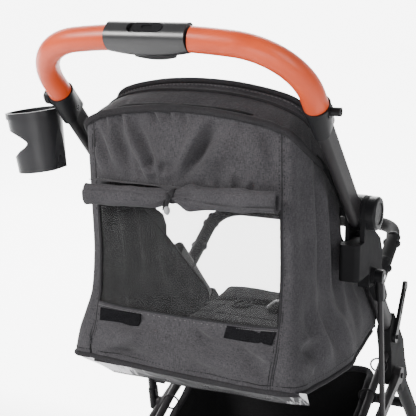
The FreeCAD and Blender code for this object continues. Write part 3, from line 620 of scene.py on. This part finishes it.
def top_of_side(w):
    """Height of the sloping top edge for a column of the side."""
    z = 0.84
    for _ in range(12):
        y = shell_point(w, z, 1)[1]
        z = 0.5 * z + 0.5 * interp(y, (-0.331, 0.875), (-0.32, 0.862), (-0.3, 0.847), (-0.286, 0.838),
                                   (-0.235, 0.814), (-0.189, 0.787), (-0.14, 0.747))
    return z


def top_of_back(x):
    return eased(abs(x), (0, 0.8995), (0.05, 0.897), (0.09, 0.892), (0.13, 0.884), (0.15, 0.875))


def hem_of_side(w):
    y = shell_point(w, 0.49, 1)[1]
    return interp(y, (-0.334, 0.503), (-0.3, 0.498), (-0.2, 0.492), (-0.09, 0.484), (-0.05, 0.47),
                  (0.0, 0.466), (0.085, 0.474))


def seam_x(z, side):
    """The two seams stand straight down to the window's foot, then both lean to the left."""
    if side < 0:
        return eased(z, (0.5, -0.172), (0.527, -0.164), (0.558, -0.149), (0.6, -0.148), (0.93, -0.148))
    return eased(z, (0.5, 0.137), (0.533, 0.141), (0.558, 0.147), (0.6, 0.148), (0.93, 0.148))


def row_heights(low, mid, high, top):
    ends = ((low, mid), (mid, high), (high, top))
    spans = [np.linspace(*pair, count + 1) for pair, count in zip(ends, ROWS)]
    return np.concatenate([spans[0], spans[1][1:], spans[2][1:]])


def cabin_grid():
    """The cabin's cloth as columns of points, from the left side's front edge round to the right's."""
    ways = steps(SIDE_COLUMNS + 1)[1:]
    columns = [("side", -1, w) for w in ways[::-1]]
    columns += [("back", 0, t) for t in steps(BACK_COLUMNS + 1)]
    columns += [("side", 1, w) for w in ways]
    grid = []
    for kind, side, t in columns:
        if kind == "back":
            hem = interp(t, (0, 0.5095), (0.5, 0.507), (1, 0.502))
            heights = row_heights(hem, WINDOW_LOW, WINDOW_HIGH, top_of_back((2 * t - 1) * SEAM_HALF))
            column = []
            for z in heights:
                x = seam_x(z, -1) * (1 - t) + seam_x(z, 1) * t
                curve, at, _ = outline_at(z, -1 if x < 0 else 1)
                whole = int(at) + 60
                y = np.interp(abs(x), curve[:whole, 0], curve[:whole, 1])
                column.append((x, y, z))
        else:
            top = top_of_side(t)
            low = hem_of_side(t) + (0.0065 if side < 0 else -0.001) * (1 - t) ** 2
            high = WINDOW_HIGH + (low + 0.66 * (top - low) - WINDOW_HIGH) * min(1, t * 1.6) ** 1.5
            high = min(high, top - 0.01)
            heights = row_heights(low, min(WINDOW_LOW, low + 0.42 * (top - low)), high, top)
            column = []
            for z in heights:
                p = shell_point(t, z, side)
                lean = (seam_x(z, side) - side * SEAM_HALF) * (1 - t) ** 3
                column.append((p[0] + 0.35 * lean, p[1], p[2]))
        grid.append(column)
    return np.array(grid)


# folds of the rear panel above and below the window, in (x, z), and of the sides, in (y, z)
UPPER_FOLDS = [
    (-4, 788, 68, 893, 9.8, -12), (10, 789, 95, 880, 14.9, 5.9), (-30, 786, -83, 900, 8.6, -10.1),
    (-45, 786, -66, 850, 6.9, 5.9), (-72, 790, -118, 896, 10.3, -8.9),
    (-110, 790, -150, 880, 9.2, -5.9), (-22, 790, -32, 835, 4.6, -5), (-50, 905, -30, 868, 4.8, -4.6),
    (-22, 905, -10, 876, 4.6, -3.9), (4, 905, 12, 870, 5.2, -3.1), (-100, 902, -92, 850, 5.7, -5),
    (-128, 894, -122, 846, 5.7, -3.9), (66, 784, 54, 812, 5.2, -4.2), (90, 784, 83, 816, 5.2, -4.6),
    (111, 784, 107, 808, 4.6, -3.9), (104, 884, 126, 820, 13.8, 4.2), (128, 878, 146, 790, 10.3, -3.1),
    (-36, 812, -10, 800, 6.9, 6.6), (-56, 800, -30, 818, 6.9, 5), (35, 800, 90, 846, 16.1, -2.8),
]
LOWER_FOLDS = [
    (-160, 548, 0, 566, 11.5, 8.1), (-20, 560, 130, 520, 13.8, 7), (-150, 528, -10, 520, 10.3, -5),
    (10, 592, 62, 548, 8, -5), (80, 566, 146, 530, 9.2, -5.9), (-60, 590, -90, 540, 11.5, 3.5),
    (90, 530, 142, 512, 6.9, 5.9), (0, 530, 80, 514, 9.2, -3.9), (-145, 512, -60, 540, 8, -4.6),
    (118, 560, 148, 556, 6.9, 5),
]
SIDE_FOLDS = [
    (-312, 872, -285, 640, 15, -4.06), (-296, 850, -250, 560, 17.5, 5.04),
    (-270, 835, -215, 600, 18.7, -4.06), (-240, 812, -175, 540, 17.5, 4.34),
    (-215, 790, -150, 560, 15, -3.92), (-180, 770, -110, 540, 15, 3.64),
    (-300, 640, -250, 505, 15, -5.04), (-280, 620, -210, 500, 16.3, 5.74),
    (-318, 570, -262, 540, 10, -6.02), (-318, 552, -270, 518, 8.8, 4.76),
    (-230, 600, -160, 495, 15, -4.76), (-190, 590, -110, 490, 15, 4.34),
    (-140, 640, -40, 500, 15, -3.64), (-90, 590, 10, 490, 15, 3.36),
]


def cabin_folds(grid):
    """How far each point of the cabin's cloth stands off its smooth shape, in metres."""
    x, y, z = grid[..., 0], grid[..., 1], grid[..., 2]
    off = np.zeros(x.shape)
    back = np.abs(x) < 0.15
    off += creases(x, z, UPPER_FOLDS) * back * np.clip((z - 0.774) / 0.012, 0, 1)
    off += creases(x, z, LOWER_FOLDS) * back * np.clip((0.594 - z) / 0.01, 0, 1)
    off += creases(y, z, SIDE_FOLDS, 0.35) * np.clip((y + 0.336) / 0.02, 0, 1) * ~back
    # small random rumpling, calmer next to the window and the seams
    for _ in range(26):
        cx, cz = rng.uniform(-0.17, 0.17), rng.uniform(0.5, 0.9)
        angle, long = rng.uniform(-0.5, 0.5) + pi / 2, rng.uniform(0.03, 0.07)
        dx, dz = cos(angle) * long, sin(angle) * long
        wide, high = rng.uniform(0.005, 0.012), rng.uniform(-0.0011, 0.0011)
        off += crease(x + 0.4 * y, z, (cx - dx, cz - dz), (cx + dx, cz + dz), wide, high)
    calm = np.clip(np.minimum(np.abs(z - WINDOW_LOW), np.abs(z - WINDOW_HIGH)) / 0.006, 0.15, 1)
    near_seam = np.clip(np.abs(np.abs(x) - SEAM_HALF) / 0.006, 0.25, 1)
    return off * np.where(back, calm, 1) * near_seam


def make_cabin():
    grid = cabin_grid()
    normal = grid_normals(grid)
    outward = np.sign((normal * (grid - CABIN_MIDDLE)).sum())
    off = cabin_folds(grid)
    off[:, [0, -1]] *= 0.3
    grid = grid + normal * outward * off[..., None]
    nu, nv = grid.shape[0] - 1, grid.shape[1] - 1
    hole = np.zeros((nu, nv), bool)
    hole[SIDE_COLUMNS + 1:SIDE_COLUMNS + BACK_COLUMNS - 1, ROWS[0]:ROWS[0] + ROWS[1]] = True
    if outward < 0:
        grid, hole = grid[::-1], hole[::-1]
    shell = cloth_sheet("cabin_cloth", grid, 0.0016, lining=LINING, hole=hole)
    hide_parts("cabin_rear_wall", "cabin_side_left", "cabin_side_right")
    return grid


cabin_points = make_cabin()


# ---- seams, piping and stitching of the cabin

CANOPY_MIDDLE = np.array((0, -0.1, 0.6))


def facing(points, normals, origin=CABIN_MIDDLE):
    """The normals, turned away from a middle point."""
    out = np.sign(((points - origin) * normals).sum(-1))[..., None]
    return normals * np.where(out == 0, 1, out)


cabin_normals = facing(cabin_points, grid_normals(cabin_points))
if cabin_points[0, 0, 0] > 0:
    cabin_points, cabin_normals = cabin_points[::-1], cabin_normals[::-1]
SEAM_LEFT, SEAM_RIGHT = SIDE_COLUMNS, SIDE_COLUMNS + BACK_COLUMNS
ROW_LOW, ROW_HIGH = ROWS[0], ROWS[0] + ROWS[1]
TOP_LINE = cabin_points[:, -1]


def seam_rows(name, column, shift, rows=slice(1, -2)):
    """Thread beside a standing seam, a few millimetres to one side."""
    line, normal = cabin_points[column, rows], cabin_normals[column, rows]
    along = np.gradient(line, axis=0)
    along /= norm(along, axis=1)[:, None]
    side = np.cross(along, normal)
    stitches(name, line + side * shift + normal * 0.0009, normal, wide=0.0004, material=DARK_THREAD)


def make_seams():
    for label, column, flip in (("left", SEAM_LEFT, -1), ("right", SEAM_RIGHT, 1)):
        ridge = cabin_points[column, 1:-1] + cabin_normals[column, 1:-1] * 0.0004
        sweep("seam_ridge_" + label, ridge, 0.0011, sides=8)
        seam_rows("seam_thread_%s_a" % label, column, flip * 0.0032)
        seam_rows("seam_thread_%s_b" % label, column, flip * -0.0036)
    inner = slice(SEAM_LEFT + 1, SEAM_RIGHT)
    for label, row, drop in (("low", ROW_LOW, -0.0045), ("high", ROW_HIGH, 0.0225)):
        line = cabin_points[inner, row] + np.array((0, 0, drop))
        for point, column in zip(line, cabin_points[inner]):
            point[1] = np.interp(point[2], column[:, 2], column[:, 1])
        normal = cabin_normals[inner, row]
        stitches("window_thread_" + label, line + normal * 0.0011, normal)
    for label, column in (("left", SEAM_LEFT + 1), ("right", SEAM_RIGHT - 1)):
        sweep("window_edge_" + label, cabin_points[column, ROW_LOW:ROW_HIGH + 1], 0.0013, sides=8)
    sweep("window_edge_low", cabin_points[inner, ROW_LOW], 0.0013, sides=8)
    piping = smooth_line(TOP_LINE[::6], 260)
    sweep("piping_top", piping + np.array((0, -0.001, 0.001)), 0.0054, sides=16)
    sweep("piping_hem", smooth_line(cabin_points[::5, 0], 320), 0.0042)
    for label, column in (("left", 0), ("right", -1)):
        sweep("side_binding_" + label, smooth_line(cabin_points[column, ::6], 120), 0.0024, sides=10)
    lift = cabin_points[:, 4] + cabin_normals[:, 4] * 0.0011
    stitches("hem_thread", lift, cabin_normals[:, 4], wide=0.0004, material=DARK_THREAD)


make_seams()


# ---- canopy

MID_ANGLE, FRONT_ANGLE, VISOR_ANGLE = 132.0, 124.6, 112.8
# half of each bow's arch, from its foot to the top: (distance from the middle, from the pivot), in mm
MID_HALF = [(176, 92), (176, 110), (174, 140), (170, 168), (160, 200), (146, 218), (120, 235), (91, 246),
            (50, 254), (0, 256.5)]
FRONT_HALF = [(165, 92), (165, 115), (163, 150), (158, 185), (149, 206), (136, 219), (115, 228),
              (88, 235.5), (50, 242.5), (0, 245.5)]


def arch(half, angle, count, foot=()):
    line = np.array([*foot, *half]) * MM
    flat = smooth_line(np.vstack([line * (-1, 1), line[-2::-1]]), count)
    return polar(angle, flat[:, 1], flat[:, 0])


def between(low, high, count, dip):
    """A strip of cloth between two lines of equally many points; dip pulls its middle towards the pivot."""
    rows = []
    for t in steps(count):
        row = low * (1 - t) + high * t
        inward = PIVOT - row
        inward[:, 0] *= 0.35
        inward /= norm(inward, axis=1)[:, None]
        rows.append(row + inward * dip * 4 * t * (1 - t))
    return np.stack(rows, 1)


def rumple(grid, count, high):
    """Small gathers running across a strip, strongest at one edge."""
    nu, nv = grid.shape[:2]
    u, v = np.meshgrid(steps(nu), steps(nv), indexing="ij")
    off = np.zeros((nu, nv))
    for _ in range(count):
        at, wide = rng.uniform(0.06, 0.94), rng.uniform(0.006, 0.016)
        lean = rng.uniform(-0.05, 0.05)
        off += rng.uniform(-1, 1) * high * bump_at(u - at - lean * v, wide) * (1 - v)
    return grid + grid_normals(grid) * (off * np.sin(pi * v) ** 0.5)[..., None]


def make_strips():
    """The two strips of cloth between the bows, which on the stroller stretch as the canopy opens; here they
    are made in place and follow neither bow.
    """
    reach = np.hypot(TOP_LINE[:, 1] - PIVOT[1], TOP_LINE[:, 2] - PIVOT[2])
    rear = evenly(TOP_LINE[reach > 0.092], 280)
    mid, front = arch(MID_HALF, MID_ANGLE, 280), arch(FRONT_HALF, FRONT_ANGLE, 280)
    strip = rumple(between(rear, mid, 18, -0.003), 30, 0.0012)
    top = rumple(between(mid, front, 18, 0.008), 26, 0.0016)
    for name, grid, bodies, bows, flat, angle, gap in (
            ("canopy_strip", strip, ("chassis", "canopy_mid"), ["bow_rear", "bow_mid"],
             (0.6, 0.04), 140, 0.014),
            ("canopy_top", top, ("canopy_mid", "canopy_front"), ["bow_mid", "bow_front"],
             (0.56, 0.034), 132, 0.012)):
        if (facing(grid, grid_normals(grid), CANOPY_MIDDLE) * grid_normals(grid)).sum() < 0:
            grid = grid[:, ::-1]
        piece = cloth_sheet(name, grid, 0.0014, body=None, lining=LINING)
        ahead = Vector((0, sin(radians(angle)), -cos(radians(angle))))
        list(bodies)
        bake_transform(piece)
        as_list(bows)


def make_sleeves():
    mid_foot, front_foot = [(171, 12), (174, 50)], [(162, 12), (164, 50)]
    sleeve = sweep("canopy_sleeve_mid", arch(MID_HALF, MID_ANGLE, 320, mid_foot), 0.0036, body="canopy_mid")
    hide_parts("bow_mid")
    edge = sweep("canopy_sleeve_front", arch(FRONT_HALF, FRONT_ANGLE, 320, front_foot), 0.0044,
                 body="canopy_front")
    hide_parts("bow_front")
    steps = (-0.0026, -0.0025, -0.0019, 0.0019, 0.0025, 0.0026)
    radii = [0.002, 0.0088, 0.0098, 0.0098, 0.0088, 0.002]
    for label, x, body in (("mid", 0.1705, "canopy_mid"), ("front", 0.1625, "canopy_front")):
        for side, hand in HANDS:
            line = [(side * (x + d), PIVOT[1], PIVOT[2]) for d in steps]
            sweep("bow_eye_%s_%s" % (label, hand), line, radii, BLACK, body, 28)


def make_visor():
    rows = []
    for angle in np.linspace(0.8, FRONT_ANGLE - VISOR_ANGLE, 14):
        half = [(x * 0.985, r - 3.6 * angle * min(1, 4 * max(0, r - 120) / 130)) for x, r in FRONT_HALF]
        rows.append(arch(half, FRONT_ANGLE - angle, 220))
    visor = cloth_sheet("canopy_visor_cloth", np.stack(rows, 1), 0.0016, body="canopy_front", lining=LINING)
    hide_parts("canopy_visor")
    sweep("visor_edge", rows[-1], 0.0028, body="canopy_front", sides=12)
    line = arch([(x * 0.985, r + 1.2) for x, r in FRONT_HALF], FRONT_ANGLE + 2.4, 300)[30:-30]
    out = facing(line, line - PIVOT, CANOPY_MIDDLE)
    stitches("canopy_thread", line + out / 0.25 * 0.0006, out, "canopy_front", 0.006, 0.0036, 0.0006)


make_strips()
make_sleeves()
make_visor()


# ---- window, rolled flap and tapes

def make_window():
    xs = np.linspace(-0.1475, 0.1475, 60)
    rows = []
    for row in range(ROW_LOW - 2, ROW_HIGH + 3, 2):
        x, y, z = cabin_points[SEAM_LEFT:SEAM_RIGHT + 1, row].T
        rows.append(np.column_stack([xs, np.interp(xs, x, y) + 0.0022, np.interp(xs, x, z)]))
    net = cloth_sheet("window_net", np.stack(rows, 1), 0.0004, NET)
    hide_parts("window_mesh")


ROLL_Y, ROLL_Z, TIE_X = -0.3555, 0.7765, -0.005


def make_roll():
    """The window's flap rolled up in two and a half turns and pinched by its tie."""
    turns = np.linspace(0.12, 2.62, 150) * 2 * pi
    spans = ((-0.149, -0.03, 46), (-0.028, 0.022, 34), (0.024, 0.153, 46))
    xs = np.concatenate([np.linspace(*span) for span in spans])
    grid = []
    for x in xs:
        pinch, wide = bump_at(x - TIE_X, 0.016), bump_at(x - TIE_X, 0.04)
        tall = (0.0164 + 0.006 * max(0, x)) * (1 - 0.52 * pinch)
        tall += 0.0006 * sin(31 * x) + 0.0008 * sin(75 * x + 1)
        deep = 0.0112 * (1 - 0.3 * pinch)
        middle_z = ROLL_Z + interp(x, (-0.149, -0.0078), (-0.03, -0.003), (TIE_X, 0.001), (0.03, 0.0015),
                                   (0.153, 0.0065))
        shrink = 1 - 0.135 * (turns / (2 * pi))
        ripple = 0.0013 * wide * np.sin(9 * turns + 160 * x)
        ripple = ripple + 0.0008 * np.sin(2.3 * turns + 40 * x + 2 * sin(60 * x))
        twist = 0.0026 * bump_at(x - TIE_X - 0.028, 0.02) * np.sin(turns * 2 - 90 * (x - TIE_X))
        size_z, size_y = tall * shrink + ripple + twist, deep * shrink + 0.7 * ripple + twist
        start = 0.25 * pi + 0.5 * sin(14 * x)
        grid.append(np.column_stack([np.full(len(turns), x), ROLL_Y - size_y * np.sin(turns + start),
                                     middle_z + size_z * np.cos(turns + start)]))
    roll = cloth_sheet("window_flap_roll", np.array(grid), 0.0009)
    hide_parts("window_roll")

    def hanging(x, t):
        top = np.array((x, -0.3452 + 0.006 * (abs(x) / SEAM_HALF) ** 2, 0.789))
        low = np.array((x, ROLL_Y + 0.004, ROLL_Z + 0.013 * (1 - 0.5 * bump_at(x - TIE_X, 0.018))))
        sag = 0.001 * sin(90 * x) + 0.0008 * sin(171 * x)
        return top * (1 - t) + low * t + np.array((0, -0.003 * sin(pi * t) + sag * t, 0))

    skirt = surface(np.linspace(-0.146, 0.148, 130), steps(9), hanging)
    hanger = cloth_sheet("flap_hanger", skirt, 0.0011)


def make_tie():
    """The tie round the roll: a band, its flat tail and a short cord with a toggle."""
    def placed(*points):
        """Points given from the roll's middle at the tie."""
        return [(TIE_X + x, ROLL_Y + y, ROLL_Z + z) for x, y, z in points]

    turn = np.linspace(0, 2 * pi, 40)
    ring = np.column_stack([TIE_X + 0.0016 * np.sin(turn * 2), ROLL_Y - 0.0104 * np.sin(turn),
                            ROLL_Z + 0.001 + 0.0094 * np.cos(turn)])
    sweep("tie_band", ring, 0.0036, sides=12, flat=0.42)
    knot = placed((-0.004, -0.01, 0.006), (-0.001, -0.0135, 0.001), (-0.003, -0.0125, -0.008),
                  (-0.005, -0.0115, -0.016))
    sweep("tie_tail", smooth_line(knot, 24), 0.0030, sides=12, flat=0.55)
    tail = placed((0, -0.0125, 0.002), (-0.007, -0.013, -0.006), (-0.0095, -0.0115, -0.0175))
    sweep("tie_cord", smooth_line(tail, 20), 0.0016, WEBBING, sides=10)
    bead = placed(*((-0.004 + 0.0002 * k, -0.0125, -0.0125 - 0.0017 * k) for k in range(7)))
    radii = [0.0028, 0.0042, 0.0047, 0.0047, 0.0046, 0.004, 0.0026]
    sweep("tie_toggle", bead, radii, GREY_PLASTIC, sides=20)


def tape(name, corners):
    """A flat tape lying on the rear panel: corners as (x, z), anticlockwise from the lower left."""
    a, b, c, d = (np.array(k, float) for k in corners)
    columns = cabin_points[SEAM_LEFT:SEAM_RIGHT + 1]

    def on_back(s, t):
        x, z = (a * (1 - s) + b * s) * (1 - t) + (d * (1 - s) + c * s) * t
        column = columns[min(np.searchsorted(columns[:, 8, 0], x), BACK_COLUMNS)]
        return x, np.interp(z, column[:, 2], column[:, 1]) - 0.002, z

    grid = surface(steps(36), steps(12), on_back)
    return cloth_sheet(name, grid[::-1], 0.0016, HOOKS)


make_window()
make_roll()
make_tie()
for label, corners in (("left", [(-0.141, 0.5705), (-0.071, 0.5725), (-0.066, 0.5915), (-0.139, 0.5905)]),
                       ("right", [(0.068, 0.5755), (0.14, 0.5735), (0.1455, 0.5925), (0.074, 0.5945)])):
    tape("hook_tape_" + label, corners)


def make_board():
    """The cabin floor's rear lip: a strip of clear film over a dark board, below the hem, with a painted
    reflection of the backdrop at its left end and right corner.
    """
    def point(s, t):
        x = (-0.199 + 0.388 * s) * (1 - t) + (-0.144 + 0.326 * s) * t
        y = -0.335 + 0.033 * t + 0.01 * (abs(x) / 0.19) ** 3
        return x, y, 0.504 - 0.03 * t + 0.001 * sin(46 * x + 5 * t) * t

    across, down = 150, 22
    grid = surface(steps(across), steps(down), point)
    a, b = np.meshgrid(np.arange(across), np.arange(down), indexing="ij")
    for _ in range(60):
        u, v = rng.uniform(0, 149), rng.uniform(4, 20)
        long = rng.uniform(2, 7)
        off = np.exp(-((a - u - 0.8 * (b - v)) / long) ** 2 - ((b - v) / 4) ** 2)
        grid[..., 1] += rng.uniform(-0.0011, 0.0011) * off * (1 - np.abs(b / 10.5 - 1) ** 6)
    lip = cloth_sheet("board_lip", grid[::-1], 0.0018, VINYL)
    sweep("board_lip_edge", grid[:, -1], 0.0014, sides=10)
    stitches("board_lip_thread", grid[2:-2, 19] + np.array((0, -0.0014, 0)), (0, -1, 0))


make_board()


# ---- seat, backrest and leg rest

VOXEL, MOST_SWELL, SIM_FRAMES = 0.0055, 0.008, 20


def points_of(piece):
    return np.array([v.co[:] for v in piece.data.vertices])


def add_modifier(piece, kind, **settings):
    made = piece.modifiers.new(kind.lower(), kind)
    for key, value in settings.items():
        setattr(made, key, value)
    return made


def swell(piece):
    """Blows the pad up with a short cloth simulation."""
    blow = add_modifier(piece, "CLOTH")
    blow.settings.use_pressure = True
    blow.settings.uniform_pressure_force = 4
    blow.settings.effector_weights.gravity = 0
    blow.settings.quality = 5
    blow.point_cache.frame_end = SIM_FRAMES
    for step in range(1, SIM_FRAMES + 1):
        bpy.context.scene.frame_set(step)
    bpy.ops.object.modifier_apply(modifier=blow.name)
    bpy.context.scene.frame_set(1)


def puff(name, node, body, shrink, seams=()):
    """A stuffed pad blown up from its CAD solid, with its seams pressed in afterwards."""
    lo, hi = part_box(node)
    piece = add_object(name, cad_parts[node].data.copy())
    centre = (lo + hi) / 2
    for v in piece.data.vertices:
        v.co = centre + Vector([(v.co - centre)[k] * shrink[k] for k in range(3)])
    bpy.context.view_layer.objects.active = piece
    remesh = add_modifier(piece, "REMESH", mode="VOXEL", voxel_size=VOXEL)
    bpy.ops.object.modifier_apply(modifier=remesh.name)
    start = points_of(piece)
    swell(piece)
    move = points_of(piece) - start
    size = norm(move, axis=1, keepdims=True)
    now = start + move * np.minimum(1, MOST_SWELL / np.maximum(size, 1e-9))
    now = np.clip(now, np.array(lo) - 0.004, np.array(hi) + 0.006)
    piece.data.vertices.foreach_set("co", now.ravel())
    finer = add_modifier(piece, "SUBSURF", levels=1, render_levels=1)
    bpy.ops.object.modifier_apply(modifier=finer.name)
    piece.data.polygons.foreach_set("use_smooth", [True] * len(piece.data.polygons))
    piece.data.materials.clear()
    piece.data.materials.append(SEAT)
    co = points_of(piece)
    for press in seams:
        co = press(co)
    piece.data.vertices.foreach_set("co", co.ravel())
    piece.data.update()
    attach(piece, body)
    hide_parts(node)


def channel(axis, at, depth, width, centre_z=None):
    """Presses a sewn channel across a pad, both skins towards its middle height."""
    def press(co):
        middle = np.median(co[:, 2]) if centre_z is None else centre_z(co)
        pull = depth * bump_at(co[:, axis] - at, width)
        height = co[:, 2] - middle
        co = co.copy()
        co[:, 2] -= np.sign(height) * np.minimum(np.abs(height), pull)
        return co
    return press


def back_plane(co):
    """Height of the reclined backrest's middle."""
    return 0.4775 - (co[:, 1] + 0.089) * 0.18


seat_seams = [channel(0, x, 0.003, 0.003) for x in (-0.105, 0.105)] + [channel(1, -0.02, 0.0024, 0.003)]
back_seams = [channel(0, x, 0.003, 0.0035, back_plane) for x in (-0.1, 0.1)]
back_seams += [channel(1, y, 0.0026, 0.0035, back_plane) for y in (-0.17, -0.25)]
puff("seat_cushion", "seat_pad", "chassis", (0.975, 0.96, 0.8), seat_seams)
puff("backrest_cushion", "backrest_pad", "backrest", (0.975, 0.975, 0.86), back_seams)
puff("leg_rest_cushion", "leg_rest", "leg_rest", (0.975, 0.93, 0.8))


# ---- harness

def strap(name, points, width, across, count):
    """Webbing laid along a line, with its width along a fixed direction."""
    line = smooth_line(points, count)
    grid = line[:, None, :] + np.array(across, float) * width * np.linspace(-0.5, 0.5, 7)[None, :, None]
    if (grid_normals(grid)[..., 2]).sum() < 0:
        grid = grid[:, ::-1]
    return cloth_sheet(name, grid, 0.0016, WEBBING)


def disc(name, centre, radii, heights, material):
    x, y, z = centre
    line = [(x, y, z + h) for h in heights]
    sweep(name, line, radii, material, sides=40, up=(0, 1, 0))


def make_harness():
    half = [(-0.148, 0.046, 0.486), (-0.12, 0.043, 0.492), (-0.08, 0.041, 0.4935), (-0.02, 0.04, 0.494)]
    lap = half + [(-x, y, z) for x, y, z in half[::-1]]
    belt = strap("lap_strap", lap, 0.025, (0, 1, 0), 110)
    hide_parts("harness")
    crotch = [(0, 0.002, 0.489), (0.0, 0.02, 0.4935), (0.0, 0.036, 0.495), (0.0, 0.052, 0.494)]
    piece = strap("crotch_strap", crotch, 0.024, (1, 0, 0), 60)
    disc("buckle_body", (0, 0.04, 0.4945), [0.021, 0.0225, 0.0225, 0.0215, 0.019],
         (0, 0.0016, 0.005, 0.0075, 0.0092), BLACK)
    disc("buckle_face", (0, 0.04, 0.5025), [0.0135, 0.0145, 0.014, 0.0125], (0, 0.0008, 0.0018, 0.0026),
         GREY_PLASTIC)
    slider = [(x, y, 0.4965) for x, y in ((-0.084, 0.024), (-0.06, 0.024), (-0.06, 0.058), (-0.084, 0.058))]
    sweep("strap_slider", smooth_line(slider, 60, closed=True)[:-1], 0.0026, MATTE, sides=10,
          closed=True)
    bar = [(-0.072, y, 0.497) for y in np.linspace(0.0245, 0.0575, 12)]
    sweep("strap_slider_bar", bar, 0.0022, MATTE, sides=10)


make_harness()


# ---- bumper joints

def make_bumper_joints():
    """Round joint covers and sleeve ends on the bumper's two arms."""
    rise = radians(33)
    ahead = np.array((0, cos(rise), sin(rise)))
    for side, label in HANDS:
        for k, along in enumerate((0.056, 0.116)):
            centre = np.array((side * 0.178, 0.031, 0.556)) + along * ahead
            for kind, middle, way, steps, radii, sides in (
                    ("joint", 0, np.array((1, 0, 0)), (0.0128, 0.0122), (0.0064, 0.007), 28),
                    ("ring", 0.016, ahead, (0.002, 0.001), (0.0116, 0.0122), 32)):
                far, near = steps
                line = [centre + ahead * middle + way * d for d in (-far, -near, near, far)]
                sweep("bumper_%s_%s_%d" % (kind, label, k), line, [*radii, *radii[::-1]], BLACK, "bumper",
                      sides)


make_bumper_joints()


# ---- basket

def rail_height(y):
    """Height of the two sloping rails that carry the basket."""
    return 0.385 + (y - 0.06) * 0.5417


def make_basket():
    """An open cloth tub hung between the rails: its walls slope in and its floor sags."""
    def point(u, v):
        m = max(abs(u), abs(v), 1e-9)
        a, b = u / m, v / m
        round_off = 1 - 0.055 * min(abs(a), abs(b)) ** 4
        wall, inner = np.clip((m - 0.62) / 0.38, 0, 1), min(m / 0.62, 1)
        rim_y = -0.024 + 0.138 * b * round_off
        floor_x, floor_y = 0.142 * a * round_off * inner, -0.034 + 0.118 * b * round_off * inner
        floor_z = 0.2135 + 0.012 * inner ** 4
        bulge = 0.006 * sin(pi * wall)
        x = floor_x + (0.1635 * a * round_off - floor_x) * wall ** 0.8 + a * bulge
        y = floor_y + (rim_y - floor_y) * wall ** 0.8 + b * bulge * 0.6
        rim_z = min(rail_height(rim_y) - 0.017, 0.382)
        way = b if abs(a) > abs(b) else a
        dips = 0.006 * wall * sin(pi * 4 * way) ** 2 * max(wall - 0.6, 0) / 0.4
        return x, y, floor_z + (rim_z - floor_z) * wall - dips

    across = np.linspace(-1, 1, 96)
    grid = rumple(surface(across, across, point), 24, 0.0016)
    tub = cloth_sheet("basket_cloth", grid, 0.0016, BASKET)
    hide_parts("basket")
    rim = np.concatenate([grid[:-1, 0], grid[-1, :-1], grid[:0:-1, -1], grid[0, :0:-1]])
    ring = smooth_line(rim[::8], 300, closed=True)[:-1]
    sweep("basket_rim_band", ring, 0.0056, flat=1.5, closed=True)
    turn = np.linspace(0, 2 * pi, 40, endpoint=False)
    for side, label in HANDS:
        for k, y in enumerate((-0.125, -0.05, 0.03, 0.095)):
            z = rail_height(y) - 0.004
            loop = [(side * (0.1725 + 0.015 * cos(a)), y, z + 0.0125 * sin(a)) for a in turn]
            sweep("basket_loop_%s_%d" % (label, k), loop, 0.0017, WEBBING, sides=10, up=(0, 1, 0),
                  closed=True)


make_basket()
